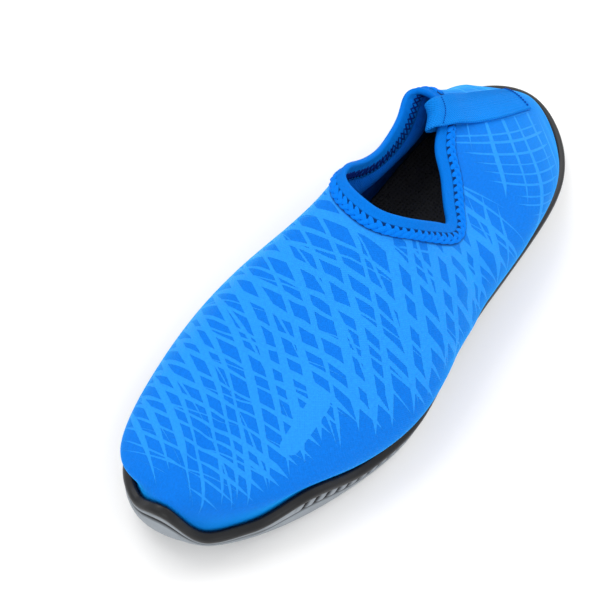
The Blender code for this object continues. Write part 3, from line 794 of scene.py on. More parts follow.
def knit_finish(knit):
    """Printed knit outside, blue to navy to black lining inside, by the fields of the upper. The lining's
    darkening with depth is partly its own colour and partly painted shade, a band about the plait line
    carries painted shade, and grazing angles carry a painted sheen.
    """
    made, tree, shader = new_finish("printed_knit")
    along, wrap, below = field(tree, "lay")
    fade, rib, inner = field(tree, "zone")
    printed = print_mask(along, wrap, below, fade, rib)
    grain = use_group(tree, "knit_grain", Along=along, Wrap=wrap, Gauge=knit.gauge * 1000.0, Fuzz=0.6)
    mottle = grain["Mottle"].spread(0.3, 0.7, -0.5, 0.5)
    shade = tree.nodes.new("ShaderNodeHueSaturation")
    put(shade.inputs["Color"], mixed(tree, printed, solid_colour(knit.base), solid_colour(knit.printed)))
    put(shade.inputs["Value"], mottle * 0.3 + 1.0)
    # Lining blue near the collar, navy down the wall and near black by the insole, later at the front: partly
    # the lining's own colours, partly painted shade deeper inside the shoe.
    deep = mixed(tree, below.spread(12.0, 30.0), solid_colour(knit.lining_edge), solid_colour(knit.lining))
    front = rib.spread(10.0, 11.5) * rib.spread(20.6, 19.4)
    depth = below - front * 26.0
    deep = mixed(tree, depth.spread(14.0, 26.0), deep, solid_colour(knit.lining_deep))
    # Painted shade: in a band about the plait line the knit takes the dark gap colour, where the puffs shade
    # it.
    seat = abs(below - PLAIT_LINE * 1000.0)
    shadow = mixed(tree, seat.spread(2.3, 3.3), solid_colour(knit.gap), shade.outputs[0])
    # Painted sheen: at grazing angles the knit's colour is mixed towards the sheen tint, by the cube of the
    # Layer Weight facing.
    slant = tree.nodes.new("ShaderNodeLayerWeight")
    put(slant.inputs["Blend"], 0.5)
    painted_sheen = maths(tree, "POWER", slant.outputs["Facing"], 3.0)
    lit = mixed(tree, painted_sheen * 0.9, shadow, solid_colour(knit.sheen))
    put(shader.inputs["Base Color"], mixed(tree, inner, lit, deep))
    matt_look(shader, printed.spread(0.0, 1.0, 0.66, 0.52), 0.1, knit.sheen, 0.35)
    raised = bump(tree, shader, printed, 0.00012)
    bump(tree, shader, grain["Height"], 0.00010, 0.8, under=raised)
    return made


def hem_finish(knit):
    """Stretch knit of the hem: the upper's blue without print, with painted shade in a band under the plait.
    """
    made, tree, shader = new_finish("hem_knit")
    run, across, _ = field(tree, "lay")
    grain = use_group(tree, "knit_grain", Along=run, Wrap=across, Gauge=0.8, Fuzz=0.7)
    tone = mixed(tree, grain["Mottle"].spread(0.3, 0.7), solid_colour(knit.hem), solid_colour(knit.hem, 0.82))
    # Painted shade: the band about 3 to 9 mm below the fold, under the plait, takes the dark gap colour.
    under = across.spread(-2.7, -3.3) * across.spread(-9.0, -8.9)
    put(shader.inputs["Base Color"], mixed(tree, under, tone, solid_colour(knit.gap)))
    matt_look(shader, 0.6, 0.05, knit.sheen)
    bump(tree, shader, grain["Height"], 0.00010)
    return made


def thread_finish(name, tone):
    """Soft spun thread: fine fuzz from noise of the place."""
    made, tree, shader = new_finish(name)
    fibre = noise(tree, object_place(tree), 2600.0, 3.0, 0.6)
    put(shader.inputs["Base Color"], mixed(tree, fibre, solid_colour(tone, 0.7), solid_colour(tone, 1.2)))
    matt_look(shader, 0.66, 0.05)
    bump(tree, shader, fibre, 0.00012)
    return made


def webbing_finish(loop):
    """Woven tape: warps along it and slanted wefts as two sines, dulled by noise."""
    made, tree, shader = new_finish("woven_webbing")
    run, across, _ = field(tree, "lay")
    turn = 2.0 * math.pi / (loop.weave * 1000.0)
    warp = (across * (turn * 1.2)).join("SINE")
    weave = warp.join("MULTIPLY_ADD", 0.5, ((run + across) * turn).join("SINE"))
    fuzz = noise(tree, object_place(tree), 900.0, 4.0, 0.7)
    share = weave.spread(-1.5, 1.5, 0.0, 0.6) + fuzz * 0.4
    put(shader.inputs["Base Color"],
        mixed(tree, share, solid_colour(loop.webbing_dark), solid_colour(loop.webbing)))
    matt_look(shader, 0.72, 0.1)
    bump(tree, shader, weave, 0.00016)
    return made


def rubber_finish(name, tone, dark, roughness, coat, dust, cuts=True):
    """Moulded rubber with pitted grain, cloudy wear, and painted shade in its cuts."""
    made, tree, shader = new_finish(name)
    grain = use_group(tree, "rubber_grain", Place=object_place(tree), Grain=1500.0)
    wear = grain["Wear"].spread(0.35, 0.75)
    colour_now = mixed(tree, wear * dust, solid_colour(tone), solid_colour(tone, 0.78))
    # Painted shade: the cut field darkens the slits, grooves and lines, where shade falls.
    if cuts:
        colour_now = mixed(tree, field(tree, "cut")[0], colour_now, solid_colour(dark))
    put(shader.inputs["Base Color"], colour_now)
    put(shader.inputs["Roughness"], wear.spread(0.0, 1.0, roughness - 0.05, roughness + 0.08))
    put(shader.inputs["Specular IOR Level"], 0.28)
    put(shader.inputs["Coat Weight"], coat)
    put(shader.inputs["Coat Roughness"], 0.25)
    bump(tree, shader, grain["Height"], 0.00008, 0.6)
    return made


def insole_finish(knit):
    """Black open mesh: holes at the middles of the cells of a Voronoi texture."""
    made, tree, shader = new_finish("insole_mesh")
    cells = tree.nodes.new("ShaderNodeTexVoronoi")
    put(cells.inputs["Vector"], object_place(tree))
    put(cells.inputs["Scale"], 620.0)
    put(cells.inputs["Randomness"], 0.25)
    hole = Value(tree, cells.outputs["Distance"]).spread(0.12, 0.42)
    put(shader.inputs["Base Color"],
        mixed(tree, hole, solid_colour(knit.insole, 0.4), solid_colour(knit.insole)))
    put(shader.inputs["Roughness"], 0.85)
    bump(tree, shader, hole, 0.0003)
    return made


def floor_finish(stage):
    """Plain pale floor with a trace of tone."""
    made, tree, shader = new_finish("pale_floor")
    cloud = noise(tree, object_place(tree), 1.2, 2.0)
    put(shader.inputs["Base Color"],
        mixed(tree, cloud, solid_colour(stage.floor), solid_colour(stage.floor, 0.985)))
    matt_look(shader, 0.9, 0.1)
    return made


# Pieces


def make_upper(knit):
    """Printed upper: outer face with its creases, and inner face a wall's thickness inside it.

    Round the shoe the columns follow the rib table; up it the rows follow each rib's spline. The lay field
    holds the length along the shoe, WRAP_RADIUS times the angle round a long axis, and the distance below the
    collar, in millimetres. The axis is lower at the heel, so that it passes under the heel's back.
    """
    columns, high, low_rows, inner_rows = 440, 104, 4, 34
    where = np.interp(np.arange(columns) * (len(RIBS) / columns), RIB_NUMBERS, KNOTS)

    def cup(inset):
        """Rows of the foot of a face, inside the sole."""
        hem, foot = outline(where, HEM_INSET + inset), outline(where, FOOT_INSET + inset)
        low = tread_height(hem[:, 0]) + SOLE_THICKNESS + CLEARANCE
        share = np.linspace(0.0, 1.0, low_rows, endpoint=False)[:, None]
        spot = hem[None] + (foot - hem)[None] * share[:, :, None]
        return place(spot[..., 0], spot[..., 1], low + (bead_top(where) - low) * share)

    def face(shares, thickness):
        """Rows of a face that lies a thickness inside the bare form, and their distances below the collar."""
        bare = upper_rows(where, shares)
        run = collar_run(where, shares)
        ease = smooth_step(run, 0.008, 0.022) * smooth_step(run[0] - run, 0.002, 0.009)
        inset = thickness + crease_depth(bare, knit.crease) * ease
        below = np.concatenate([np.repeat(run[:1], low_rows, axis=0), run])
        return bare - upper_normal(where, shares) * inset[..., None], below

    outer, outer_below = face(np.linspace(0.0, 1.0, high), 0.0)
    inner_shares = np.linspace(0.0, 1.0, inner_rows)
    inner, inner_below = face(inner_shares, wall_at(inner_shares)[:, None])
    outer = np.concatenate([cup(0.0), outer])
    points = np.concatenate([outer, np.concatenate([cup(WALL), inner])[::-1]])
    below = np.concatenate([outer_below, inner_below[::-1]]) * 1000.0
    above = below[0] - below
    ribs = rib_of(where)
    fades = above - np.interp(ribs, *np.transpose(PRINT_ENDS))[None]
    inside = np.zeros(points.shape[:2])
    inside[len(outer):] = 1.0
    along = (HEEL_SEAT - points[..., 1]) * 1000.0
    axis = AXIS_HEIGHT - AXIS_DROP * (1.0 - smooth_step(along, 30.0, 80.0))
    wrap = WRAP_RADIUS * np.arctan2(points[..., 0], points[..., 2] - axis)
    lay = np.stack([along, wrap, below], axis=-1)
    zone = np.stack([fades, np.broadcast_to(ribs, fades.shape), inside], axis=-1)
    made = surface("printed_upper", points, knit_finish(knit), joined=True,
                   fields={"lay": lay, "zone": zone})
    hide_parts("upper")


def make_hem(knit):
    """Folded hem round the collar: outer leg, a rolled fold and an inner leg, puckered by its stitches."""
    columns = 720
    where, length = even_collar(columns)
    run = np.arange(columns) * length / columns
    edge, onward, normal = collar_frame(where)
    thick = knit.hem_ply
    period = length / round(length / knit.stitch)
    pucker = 0.00016 * np.cos(2.0 * math.pi * run / period)
    rows, spans = [], []
    for distance in np.linspace(BINDING_DEPTH, 0.0005, 9):
        share = distance / BINDING_DEPTH
        plump = 0.00045 * math.sin(math.pi * min(1.0, 1.1 * (1.0 - share) + 0.1))
        rows.append(below_collar(where, distance, thick + plump + pucker * share))
        spans.append(-distance)
    radius = 0.5 * COLLAR_WALL + thick
    for turn in np.linspace(0.06, 0.94, 9) * math.pi:
        reach = 0.5 * COLLAR_WALL - radius * math.cos(turn)
        rows.append(edge - normal * reach + onward * (radius * math.sin(turn)))
        spans.append(radius * turn)
    for distance in np.linspace(0.0005, LINING_HEM, 8):
        share = distance / LINING_HEM
        rows.append(below_collar(where, distance, -COLLAR_WALL - thick * (1.0 - 0.55 * share ** 4)
                                 - pucker * math.sin(math.pi * share)))
        spans.append(math.pi * radius + distance)
    for distance in (LINING_HEM, 0.5 * LINING_HEM):
        rows.append(below_collar(where, distance, -COLLAR_WALL - SKIN))
        spans.append(0.012)
    rows.append(edge - normal * (COLLAR_WALL + SKIN) + onward * SKIN)
    rows.append(edge + normal * SKIN + onward * SKIN)
    spans += [0.012, 0.0]
    for distance in (0.5 * BINDING_DEPTH, BINDING_DEPTH):
        rows.append(below_collar(where, distance, SKIN))
        spans.append(-distance)
    points = np.array(rows)
    lay = np.stack(np.broadcast_arrays(run[None] * 1000.0, np.array(spans)[:, None] * 1000.0, 0.0), axis=-1)
    made = surface("collar_hem", points, hem_finish(knit), joined=True, fields={"lay": lay})
    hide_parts("collar_binding")


def make_coverstitch(knit):
    """Puffy plait over the hem's lower edge: three strands, pressed flat under the pull tape.

    Each strand is a sine across the hem and a sine of twice the phase in height, and swells with its cosine.
    """
    length = even_collar(8)[1]
    periods = round(length / (3.0 * knit.stitch))
    count = periods * 30
    where, _ = even_collar(count)
    turn = 2.0 * math.pi * np.arange(count) / count * periods
    run = np.arange(count) * length / count
    from_tape = np.minimum(run, length - run)
    pressed = 1.0 - smooth_step(from_tape, 0.5 * WEBBING_WIDTH - 0.0008, 0.5 * WEBBING_WIDTH + 0.001)
    finish = thread_finish("plait_thread", knit.thread)
    out = upper_normal(where, share_below(where, PLAIT_LINE)[None])[0]
    for strand in range(3):
        phase = turn + strand * 2.0 * math.pi / 3.0
        swollen = (PUFF_RADIUS + PUFF_SWELL * np.cos(2.0 * phase)) * (1.0 - 0.5 * pressed)
        distance = PLAIT_LINE + 0.5 * (knit.plait - PUFF_WIDTH) * np.sin(phase)
        lift = knit.hem_ply - 0.0001 + 0.0003 * np.sin(2.0 * phase) * (1.0 - pressed)
        path = below_collar(where, distance, lift)
        made = tube(f"collar_plait_{strand + 1}", path, out, swollen, finish, flatten=0.62)


def make_inner_zigzag(knit):
    """Thread inside the collar: two crossing zigzags over the edge of the hem's inner leg.

    Each swings by ZIGZAG_SWING to both sides, as a triangle wave of the length round the collar.
    """
    length = even_collar(8)[1]
    periods = round(length / knit.zigzag)
    count = periods * 8
    where, _ = even_collar(count)
    share = (np.arange(count) % 8) / 8.0
    swing = 1.0 - 4.0 * np.abs(share - 0.5)
    out = upper_normal(where, share_below(where, PLAIT_LINE)[None])[0]
    finish = thread_finish("lining_thread", knit.lining_thread)
    for strand, hand in enumerate((1.0, -1.0)):
        lift = -COLLAR_WALL - knit.hem_ply - 0.00012 - 0.0001 * hand * swing
        path = below_collar(where, PLAIT_LINE + 0.0003 + ZIGZAG_SWING * hand * swing, lift)
        made = tube(f"lining_zigzag_{strand + 1}", path, out, ZIGZAG_RADIUS * np.ones(count), finish, sides=6)


def tape_rows(arms):
    """Control rows of the pull tape, up the heel, over the hem, round its loop and down inside."""
    middle = KNOTS[0]
    probe = upper_rows(np.array([middle - 1e-3, middle + 1e-3]), np.array([0.6]))[0]
    per_metre = 2e-3 / np.linalg.norm(probe[1] - probe[0])
    where = middle + arms * per_metre
    rise = CLEARANCE + 0.5 * WEBBING_THICKNESS
    over = rise + BINDING_THICKNESS + FOLD_CLEARANCE
    edge, onward, normal = collar_frame(where)
    rows = []
    for share in np.linspace(WEBBING_START, WEBBING_TOP, 8):
        shares = np.array([share])
        rows.append(upper_rows(where, shares)[0] + upper_normal(where, shares)[0] * rise)
    rows.append(below_collar(where, 2.6 * BINDING_DEPTH, rise + 0.0003))
    rows.append(below_collar(where, 1.9 * BINDING_DEPTH, rise + 0.0010))
    rows.append(below_collar(where, 1.2 * BINDING_DEPTH, over + 0.0007))
    rows.append(below_collar(where, 0.6 * BINDING_DEPTH, over + 0.0008))
    rows.append(edge + normal * (over + 0.0005))
    for turn in np.linspace(0.0, math.pi, 8):
        out = -0.5 * COLLAR_WALL + LOOP_RADIUS * math.cos(turn)
        rows.append(edge + normal * out + onward * (LOOP_REACH - LOOP_RADIUS + LOOP_RADIUS * math.sin(turn)))
    rows.append(edge - normal * (COLLAR_WALL + over))
    rows.append(below_collar(where, 0.8 * BINDING_DEPTH, -COLLAR_WALL - over))
    rows.append(below_collar(where, LOOP_INNER_LEG, -COLLAR_WALL - over))
    return np.array(rows)


def smooth_rows(rows, count):
    """Cubic through control rows by distance, with the slope at each from its two neighbours."""
    middle = rows[:, rows.shape[1] // 2]
    run = np.concatenate([[0.0], np.cumsum(np.linalg.norm(np.diff(middle, axis=0), axis=1))])
    slopes = np.gradient(rows, run, axis=0)
    at = np.linspace(0.0, run[-1], count)
    row = np.clip(np.searchsorted(run, at, side="right") - 1, 0, len(run) - 2)
    width = (run[row + 1] - run[row])[:, None, None]
    share = ((at - run[row])[:, None, None]) / width
    return hermite(rows[row], rows[row + 1], slopes[row] * width, slopes[row + 1] * width, share), at


def make_pull_tape(loop):
    """Woven pull tape: its section, with rounded selvedges, is carried up the heel and round the loop."""
    across = 18
    arms = np.linspace(-0.5, 0.5, across) * WEBBING_WIDTH
    path, run = smooth_rows(tape_rows(arms), 260)
    slope, sideways = np.gradient(path, axis=0), np.gradient(path, axis=1)
    out = unit(np.cross(slope, sideways))
    edge = np.abs(arms) / (0.5 * WEBBING_WIDTH)
    half = 0.5 * WEBBING_THICKNESS * np.sqrt(1.0 - 0.85 * edge ** 14)
    rib = 0.00006 * np.sin(2.0 * math.pi * run / loop.weave)[:, None]
    top = path + out * (half[None, :, None] + rib[:, :, None])
    bottom = path - out * (half[None, :, None] + rib[:, :, None])
    points = np.concatenate([top, bottom[:, ::-1]], axis=1)
    widths = np.concatenate([arms, arms[::-1]]) * 1000.0
    lay = np.stack(np.broadcast_arrays(run[:, None] * 1000.0, widths[None], 0.0), axis=-1)
    finish = webbing_finish(loop)
    made = surface("pull_tape", points, finish, caps=True, fields={"lay": lay})
    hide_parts("pull_loop")
    thread = thread_finish("tape_thread", loop.thread)
    starts, ends, ways = [], [], []
    outer = out if np.dot(out[100, 9], [0.0, 0.3, 1.0]) > 0.0 else -out
    for row_at in (1.6, 2.4, run[-1] * 1000.0 - 29.0):
        row = int(np.argmin(np.abs(run * 1000.0 - row_at)))
        line = path[row] + outer[row] * (0.5 * WEBBING_THICKNESS + 0.00004)
        seats = np.linspace(1.0, across - 2.0, 13)
        spot = np.stack([np.interp(seats, np.arange(across), line[:, axis]) for axis in range(3)], axis=1)
        starts.append(spot[:-1] + (spot[1:] - spot[:-1]) * 0.12)
        ends.append(spot[:-1] + (spot[1:] - spot[:-1]) * 0.88)
        ways.append(np.repeat(outer[row, 9][None], 12, axis=0))
    made = stitches("tape_stitches", np.vstack(starts), np.vstack(ends), np.vstack(ways),
                    0.00022, 0.00025, thread)


def make_bead(sole):
    """Rolled bead: its section as a closed cubic, carried round on the bead's line."""
    columns, section = 560, 20
    where, _ = even_foot(columns)
    profile = np.array(BEAD_PROFILE)
    count = len(profile)
    knots = np.arange(count + 1, dtype=float)
    shape = periodic_spline(knots, profile, np.arange(section) * count / section)
    top = bead_top(where)
    rows = []
    for depth, rise in shape:
        spot = outline(where, BEAD_WIDTH * depth)
        rows.append(place(spot[:, 0], spot[:, 1], top - CLEARANCE - BEAD_HEIGHT * (1.0 - rise)))
    finish = rubber_finish("charcoal_bead", sole.bead, sole.bead, sole.bead_roughness, 0.06, 0.5, cuts=False)
    made = surface("bead", np.array(rows), finish, joined=True)
    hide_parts("rim")


def painted_cut_shade(dark):
    """Cut field of a rubber piece: how much painted shade each point takes, and two zeros."""
    return np.stack([dark, 0.0 * dark, 0.0 * dark], axis=-1)


def side_cuts(where, run, rise, sole):
    """Depth of the cuts in the sole's side, in metres, and how much painted shade they take.

    rise runs from 0 at the groove to 1 at the bead. Slits lean with it: their phase is the length round the
    sole over the pitch, plus SLIT_LEAN times the rise. They keep to both long sides. A fine line runs over
    the groove, but round the toe a wider one at 0.4 of the rise takes its place. Another runs under the bead.
    """
    rib = rib_of(where)
    outer_side = smooth_step(rib, 1.6, 2.2) * (1.0 - smooth_step(rib, 8.0, 8.3))
    inner_side = smooth_step(rib, 13.4, 13.9) * (1.0 - smooth_step(rib, 20.2, 20.8))
    slit_zone = np.maximum(outer_side, inner_side)
    hand = np.where(rib < 11.0, 1.0, -1.0)
    phase = run / sole.slit_pitch + hand * SLIT_LEAN * rise
    away = np.abs(phase - np.floor(phase) - 0.5) * sole.slit_pitch
    slit = np.clip(2.0 * (1.0 - away / (0.5 * sole.slit_width)), 0.0, 1.0)
    window = smooth_step(rise, 0.02, 0.08) * (1.0 - smooth_step(rise, 0.78, 0.94))
    cut = slit * window * slit_zone
    toe = smooth_step(rib, 8.6, 9.2) * (1.0 - smooth_step(rib, 13.2, 13.8))
    line = np.exp(-((rise - 0.04) / 0.11) ** 2) * (1.0 - toe)
    under = np.exp(-((rise - 0.97) / 0.05) ** 2)
    close = np.exp(-((rise - 0.40) / 0.20) ** 4) * toe
    # The cuts are carved into the geometry and also take painted shade in their colour.
    depth = (sole.slit_depth * cut + LINE_DEPTH * line + UNDERCUT_DEPTH * under
             + TOE_GROOVE_DEPTH * close)
    return depth, np.clip(1.8 * cut + 1.1 * line + 0.6 * under + 1.2 * close, 0.0, 1.0)


def make_sole_side(sole):
    """Cup side: rows from the tread's edge up to the bead, with its cuts, and back down inside."""
    columns = 1720
    where, length = even_foot(columns)
    run = np.arange(columns) * length / columns
    tread = tread_height(outline(where, TREAD_INSET)[:, 0])
    shelf = bead_top(where) - BEAD_HEIGHT - 2.0 * CLEARANCE
    groove = tread + GROOVE_RISE * (shelf - tread)
    inner = HEM_INSET - CLEARANCE
    bed = tread_height(outline(where, inner)[:, 0]) + SOLE_THICKNESS
    rows, darks = [], []
    turned = np.minimum(0.0030, 0.3 * (shelf - tread))

    def add(inset, height, dark=0.0):
        spot = outline(where, inset)
        rows.append(place(spot[:, 0], spot[:, 1], height))
        darks.append(dark + 0.0 * where)

    add(TREAD_INSET + 0.001, tread + 0.0003)
    for share in np.linspace(0.0, 1.0, 7):
        turn = 0.5 * math.pi * share
        add(TREAD_INSET + (1.15 * SIDE_INSET - TREAD_INSET) * math.sin(turn),
            tread + turned * (1.0 - math.cos(turn)))
    for share in np.linspace(0.25, 0.9, 4):
        add(SIDE_INSET, tread + turned + (groove - tread - turned) * share)
    for rise in np.linspace(-0.08, 1.0, 20):
        depth, dark = side_cuts(where, run, rise, sole)
        swell = 0.0003 * math.sin(math.pi * min(max(rise, 0.0), 1.0))
        add(SIDE_INSET - swell + depth, groove + (shelf - groove) * rise, dark)
    add(inner, shelf)
    add(inner, bed - 0.001)
    add(TREAD_INSET + 0.003, tread + 0.002)
    points = np.array(rows)
    cut = painted_cut_shade(np.array(darks))
    finish = rubber_finish("grey_side", sole.grey, sole.dark, 0.5, 0.0, 0.5)
    made = surface("sole_side", points, finish, joined=True, fields={"cut": cut})
    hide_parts("outsole")


def make_tread(sole):
    """Tread and footbed: a slab between both edges of the sole at each length along it.

    Its underside has slanted main grooves between the lugs, fine zigzag sipes on them and a channel along
    its border, each a trough whose depth falls off with the distance from its line.
    """
    lengths, widths = 560, 54
    fine = np.linspace(0.0, KNOTS[-1], 3001)
    toe = at_rib(11.0)
    edge = outline(fine, TREAD_INSET)
    outer_side, inner_side = edge[fine <= toe], edge[fine >= toe][::-1]
    first, last = edge[:, 0].min() + 1e-4, edge[:, 0].max() - 1e-4
    turn = np.linspace(0.0, math.pi, lengths)
    even = np.linspace(0.0, 1.0, lengths)
    share = 0.12 * 0.5 * (1.0 - np.cos(turn)) + 0.88 * even
    along = first + (last - first) * share

    def reach(side):
        order = np.argsort(side[:, 0])
        return np.interp(along, side[order, 0], side[order, 1])

    outer, inner = reach(outer_side), reach(inner_side)
    slide = np.linspace(0.0, 1.0, widths)[None]
    across = inner[:, None] + (outer - inner)[:, None] * slide
    length = np.broadcast_to(along[:, None], across.shape)
    slanted = length + np.tan(LUG_SLANT) * across
    phase = (slanted - LUG_START * LENGTH) / LUG_PITCH - 0.5
    away = np.abs(phase - np.round(phase)) * LUG_PITCH
    held = (phase > -0.6) & (phase < int(LUG_SPAN * LENGTH / LUG_PITCH) - 0.4)
    main = LUG_GROOVE_DEPTH * smooth_step(0.5 * LUG_GROOVE_WIDTH - away, -0.0003, 0.0003) * held
    sipe = (slanted + SIPE_SWING * np.abs(((across / SIPE_STEP) % 2.0) - 1.0)) / SIPE_PITCH
    sipe_away = np.abs(sipe - np.round(sipe)) * SIPE_PITCH
    rim_gap = np.minimum(slide, 1.0 - slide) * (outer - inner)[:, None]
    field_zone = smooth_step(rim_gap, 0.0065, 0.0075)
    fine_cut = SIPE_DEPTH * np.exp(-(sipe_away / 0.0005) ** 2) * field_zone
    channel = 0.0008 * np.exp(-((rim_gap - 0.006) / 0.0006) ** 2)
    depth = np.maximum(np.maximum(main, fine_cut), channel)
    low = tread_height(length) + depth * smooth_step(rim_gap, 0.0, 0.001)
    top = tread_height(length) + SOLE_THICKNESS
    points = np.concatenate([place(length, across, low), place(length, across, top)[:, ::-1]], axis=1)
    # Painted shade in the tread's grooves and sipes, darker where they are deeper.
    dark = np.concatenate([np.clip(depth / 0.0016, 0.0, 0.7), 0.0 * depth], axis=1)
    cut = painted_cut_shade(dark)
    finish = rubber_finish("grey_tread", sole.grey_tread, sole.dark, 0.62, 0.0, 0.8)
    made = surface("tread", points, finish, caps=True, fields={"cut": cut})
    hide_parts("outsole")


def dress_insole(knit):
    """Black mesh finish on the insole, whose shape is the frame's own."""
    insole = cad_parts["insole"]
    insole.data.materials.clear()
    insole.data.materials.append(insole_finish(knit))


def camera_pose(stage):
    """Turn and place of the camera from its bearing, height, roll and the spot it looks at."""
    azimuth, height, roll = stage.bearing, stage.elevation, stage.roll
    back = Vector((math.cos(height) * math.sin(azimuth), -math.cos(height) * math.cos(azimuth),
                   math.sin(height)))
    right = (-back).cross(Vector((0.0, 0.0, 1.0))).normalized()
    up = right.cross(-back).normalized()
    rolled = math.cos(roll) * right + math.sin(roll) * up
    upright = math.cos(roll) * up - math.sin(roll) * right
    ahead = (-back + stage.aside * rolled + stage.above * upright).normalized()
    side = ahead.cross(upright).normalized()
    turned = Matrix((side, side.cross(ahead), -ahead)).transposed().to_4x4()
    return Matrix.Translation(Vector(stage.target) + back * stage.distance) @ turned


def soft_box(name, spot, target, size, power):
    """Square white studio light at a spot, turned to its target."""
    light = bpy.data.lights.new(name, "AREA")
    light.shape = "SQUARE"
    light.size = size
    light.energy = power
    made = bpy.data.objects.new(name, light)
    made.location = spot
    made.rotation_mode = "QUATERNION"
    made.rotation_quaternion = (Vector(target) - Vector(spot)).to_track_quat("-Z", "Y")
    bpy.context.scene.collection.objects.link(made)


def make_stage(stage):
    """Pale floor, even white surroundings, soft lights and the camera."""
    side = 6.0
    steps = np.linspace(-0.5 * side, 0.5 * side, 9)
    across, along = np.meshgrid(steps, steps)
    points = np.stack([across, along, 0.0 * across - 0.0002], axis=-1)
    faces = quads_of(np.arange(points.size // 3).reshape(points.shape[:2])).tolist()
    floor = linked_mesh("floor", points, faces, floor_finish(stage), smooth=False)
    world = bpy.data.worlds.new("studio")
    world.use_nodes = True
    background = world.node_tree.nodes["Background"]
    background.inputs["Color"].default_value = (1.0, 1.0, 1.0, 1.0)
    background.inputs["Strength"].default_value = stage.surround
    bpy.context.scene.world = world
    middle = (0.0, -0.09, 0.03)
    soft_box("key_light", (-0.75, -0.15, 1.15), middle, 0.8, stage.key)
    soft_box("back_light", (0.35, 1.0, 0.9), middle, 0.7, stage.back)
    soft_box("front_light", (0.6, -1.1, 0.7), middle, 0.9, stage.front)
    lens = bpy.data.cameras.new("photo_camera")
    lens.sensor_width = SENSOR
    lens.lens = stage.lens
    lens.clip_start = 0.05
    camera = bpy.data.objects.new("photo_camera", lens)
    bpy.context.scene.collection.objects.link(camera)
    camera.matrix_world = camera_pose(stage)
    bpy.context.scene.camera = camera
    bpy.context.scene.view_settings.view_transform = "Standard"


# Settings


def tint(label, text, values):
    """Colour property."""
    return FloatVectorProperty(name=label, description=text, default=values, min=0.0, max=1.0,
                               size=3, subtype="COLOR")


def size(label, text, value):
    """Length property."""
    return FloatProperty(name=label, description=text, default=value, unit="LENGTH", precision=5)


def factor(label, text, value, most=1.0):
    """Property of a share."""
    return FloatProperty(name=label, description=text, default=value, min=0.0, max=most, subtype="FACTOR")


def power(label, text, value):
    """Property of a light's power."""
    return FloatProperty(name=label, description=text, default=value, min=0.0, unit="POWER")


def angle(label, text, degrees):
    """Angle property."""
    return FloatProperty(name=label, description=text, default=math.radians(degrees), subtype="ANGLE")


class WaterShoeKnit(bpy.types.PropertyGroup):
    """Cloth of the upper, its hem, threads and lining."""

    base: tint("Base", "Blue of the knit between the printed stripes", colour(0, 112, 216))
    printed: tint("Print", "Lighter blue of the stripes", colour(31, 140, 235))
    # Also painted into the knit's base colour at grazing angles, as a painted sheen.
    sheen: tint("Sheen", "Tint of the knit seen at a slant", colour(0, 170, 250))
    hem: tint("Hem", "Blue of the folded collar hem", colour(0, 118, 224))
    thread: tint("Plait", "Blue of the coverstitch", colour(0, 118, 226))
    # Painted shade under and between the plait's puffs, laid on the knit and the hem.
    gap: tint("Gaps", "Dark between the puffs of the coverstitch", colour(0, 44, 104))
    # Lining colours darken with depth inside the shoe: partly the lining's own colours, partly painted shade.
    lining_edge: tint("Lining edge", "Lining near the collar", colour(6, 112, 236))
    lining: tint("Lining", "Lining down the wall", colour(6, 60, 160))
    lining_deep: tint("Deep lining", "Lining by the insole", colour(14, 14, 18))
    lining_thread: tint("Lining thread", "Zigzag inside the collar", colour(2, 30, 104))
    insole: tint("Insole", "Black of the insole's mesh", colour(46, 48, 54))
    gauge: size("Gauge", "Repeat of the fine knit", 0.0009)
    stitch: size("Stitch", "Length of one puff of the coverstitch", 0.0034)
    plait: size("Plait width", "Width of the coverstitch", 0.0058)
    zigzag: size("Zigzag", "Repeat of the zigzag inside the collar", 0.0040)
    hem_ply: size("Hem ply", "Thickness of the hem's cloth", 0.0007)
    crease: factor("Creases", "Strength of the creases, one as in the table", 1.0, most=2.0)


class WaterShoeLoop(bpy.types.PropertyGroup):
    """Woven tape of the pull loop."""

    webbing: tint("Tape", "Blue of the woven tape", colour(6, 142, 242))
    webbing_dark: tint("Tape shade", "Blue between its threads", colour(0, 116, 218))
    thread: tint("Tape thread", "Stitches through the tape", colour(4, 70, 170))
    weave: size("Weave", "Repeat of the tape's weave", 0.0011)


class WaterShoeSole(bpy.types.PropertyGroup):
    """Rubber of the sole and its bead."""

    grey: tint("Side", "Grey of the sole's side", colour(136, 143, 150))
    grey_tread: tint("Tread", "Grey of the tread", colour(150, 154, 159))
    # Painted shade laid in the side's slits, lines and grooves and in the tread's grooves.
    dark: tint("Cuts", "Dark inside the slits and grooves", colour(16, 17, 20))
    bead: tint("Bead", "Charcoal of the bead", colour(19, 20, 22))
    bead_roughness: factor("Bead roughness", "How matt the bead is", 0.42)
    slit_pitch: size("Slit pitch", "From one side slit to the next", 0.0054)
    slit_width: size("Slit width", "Width of a side slit", 0.0030)
    slit_depth: size("Slit depth", "Depth of a side slit", 0.0012)


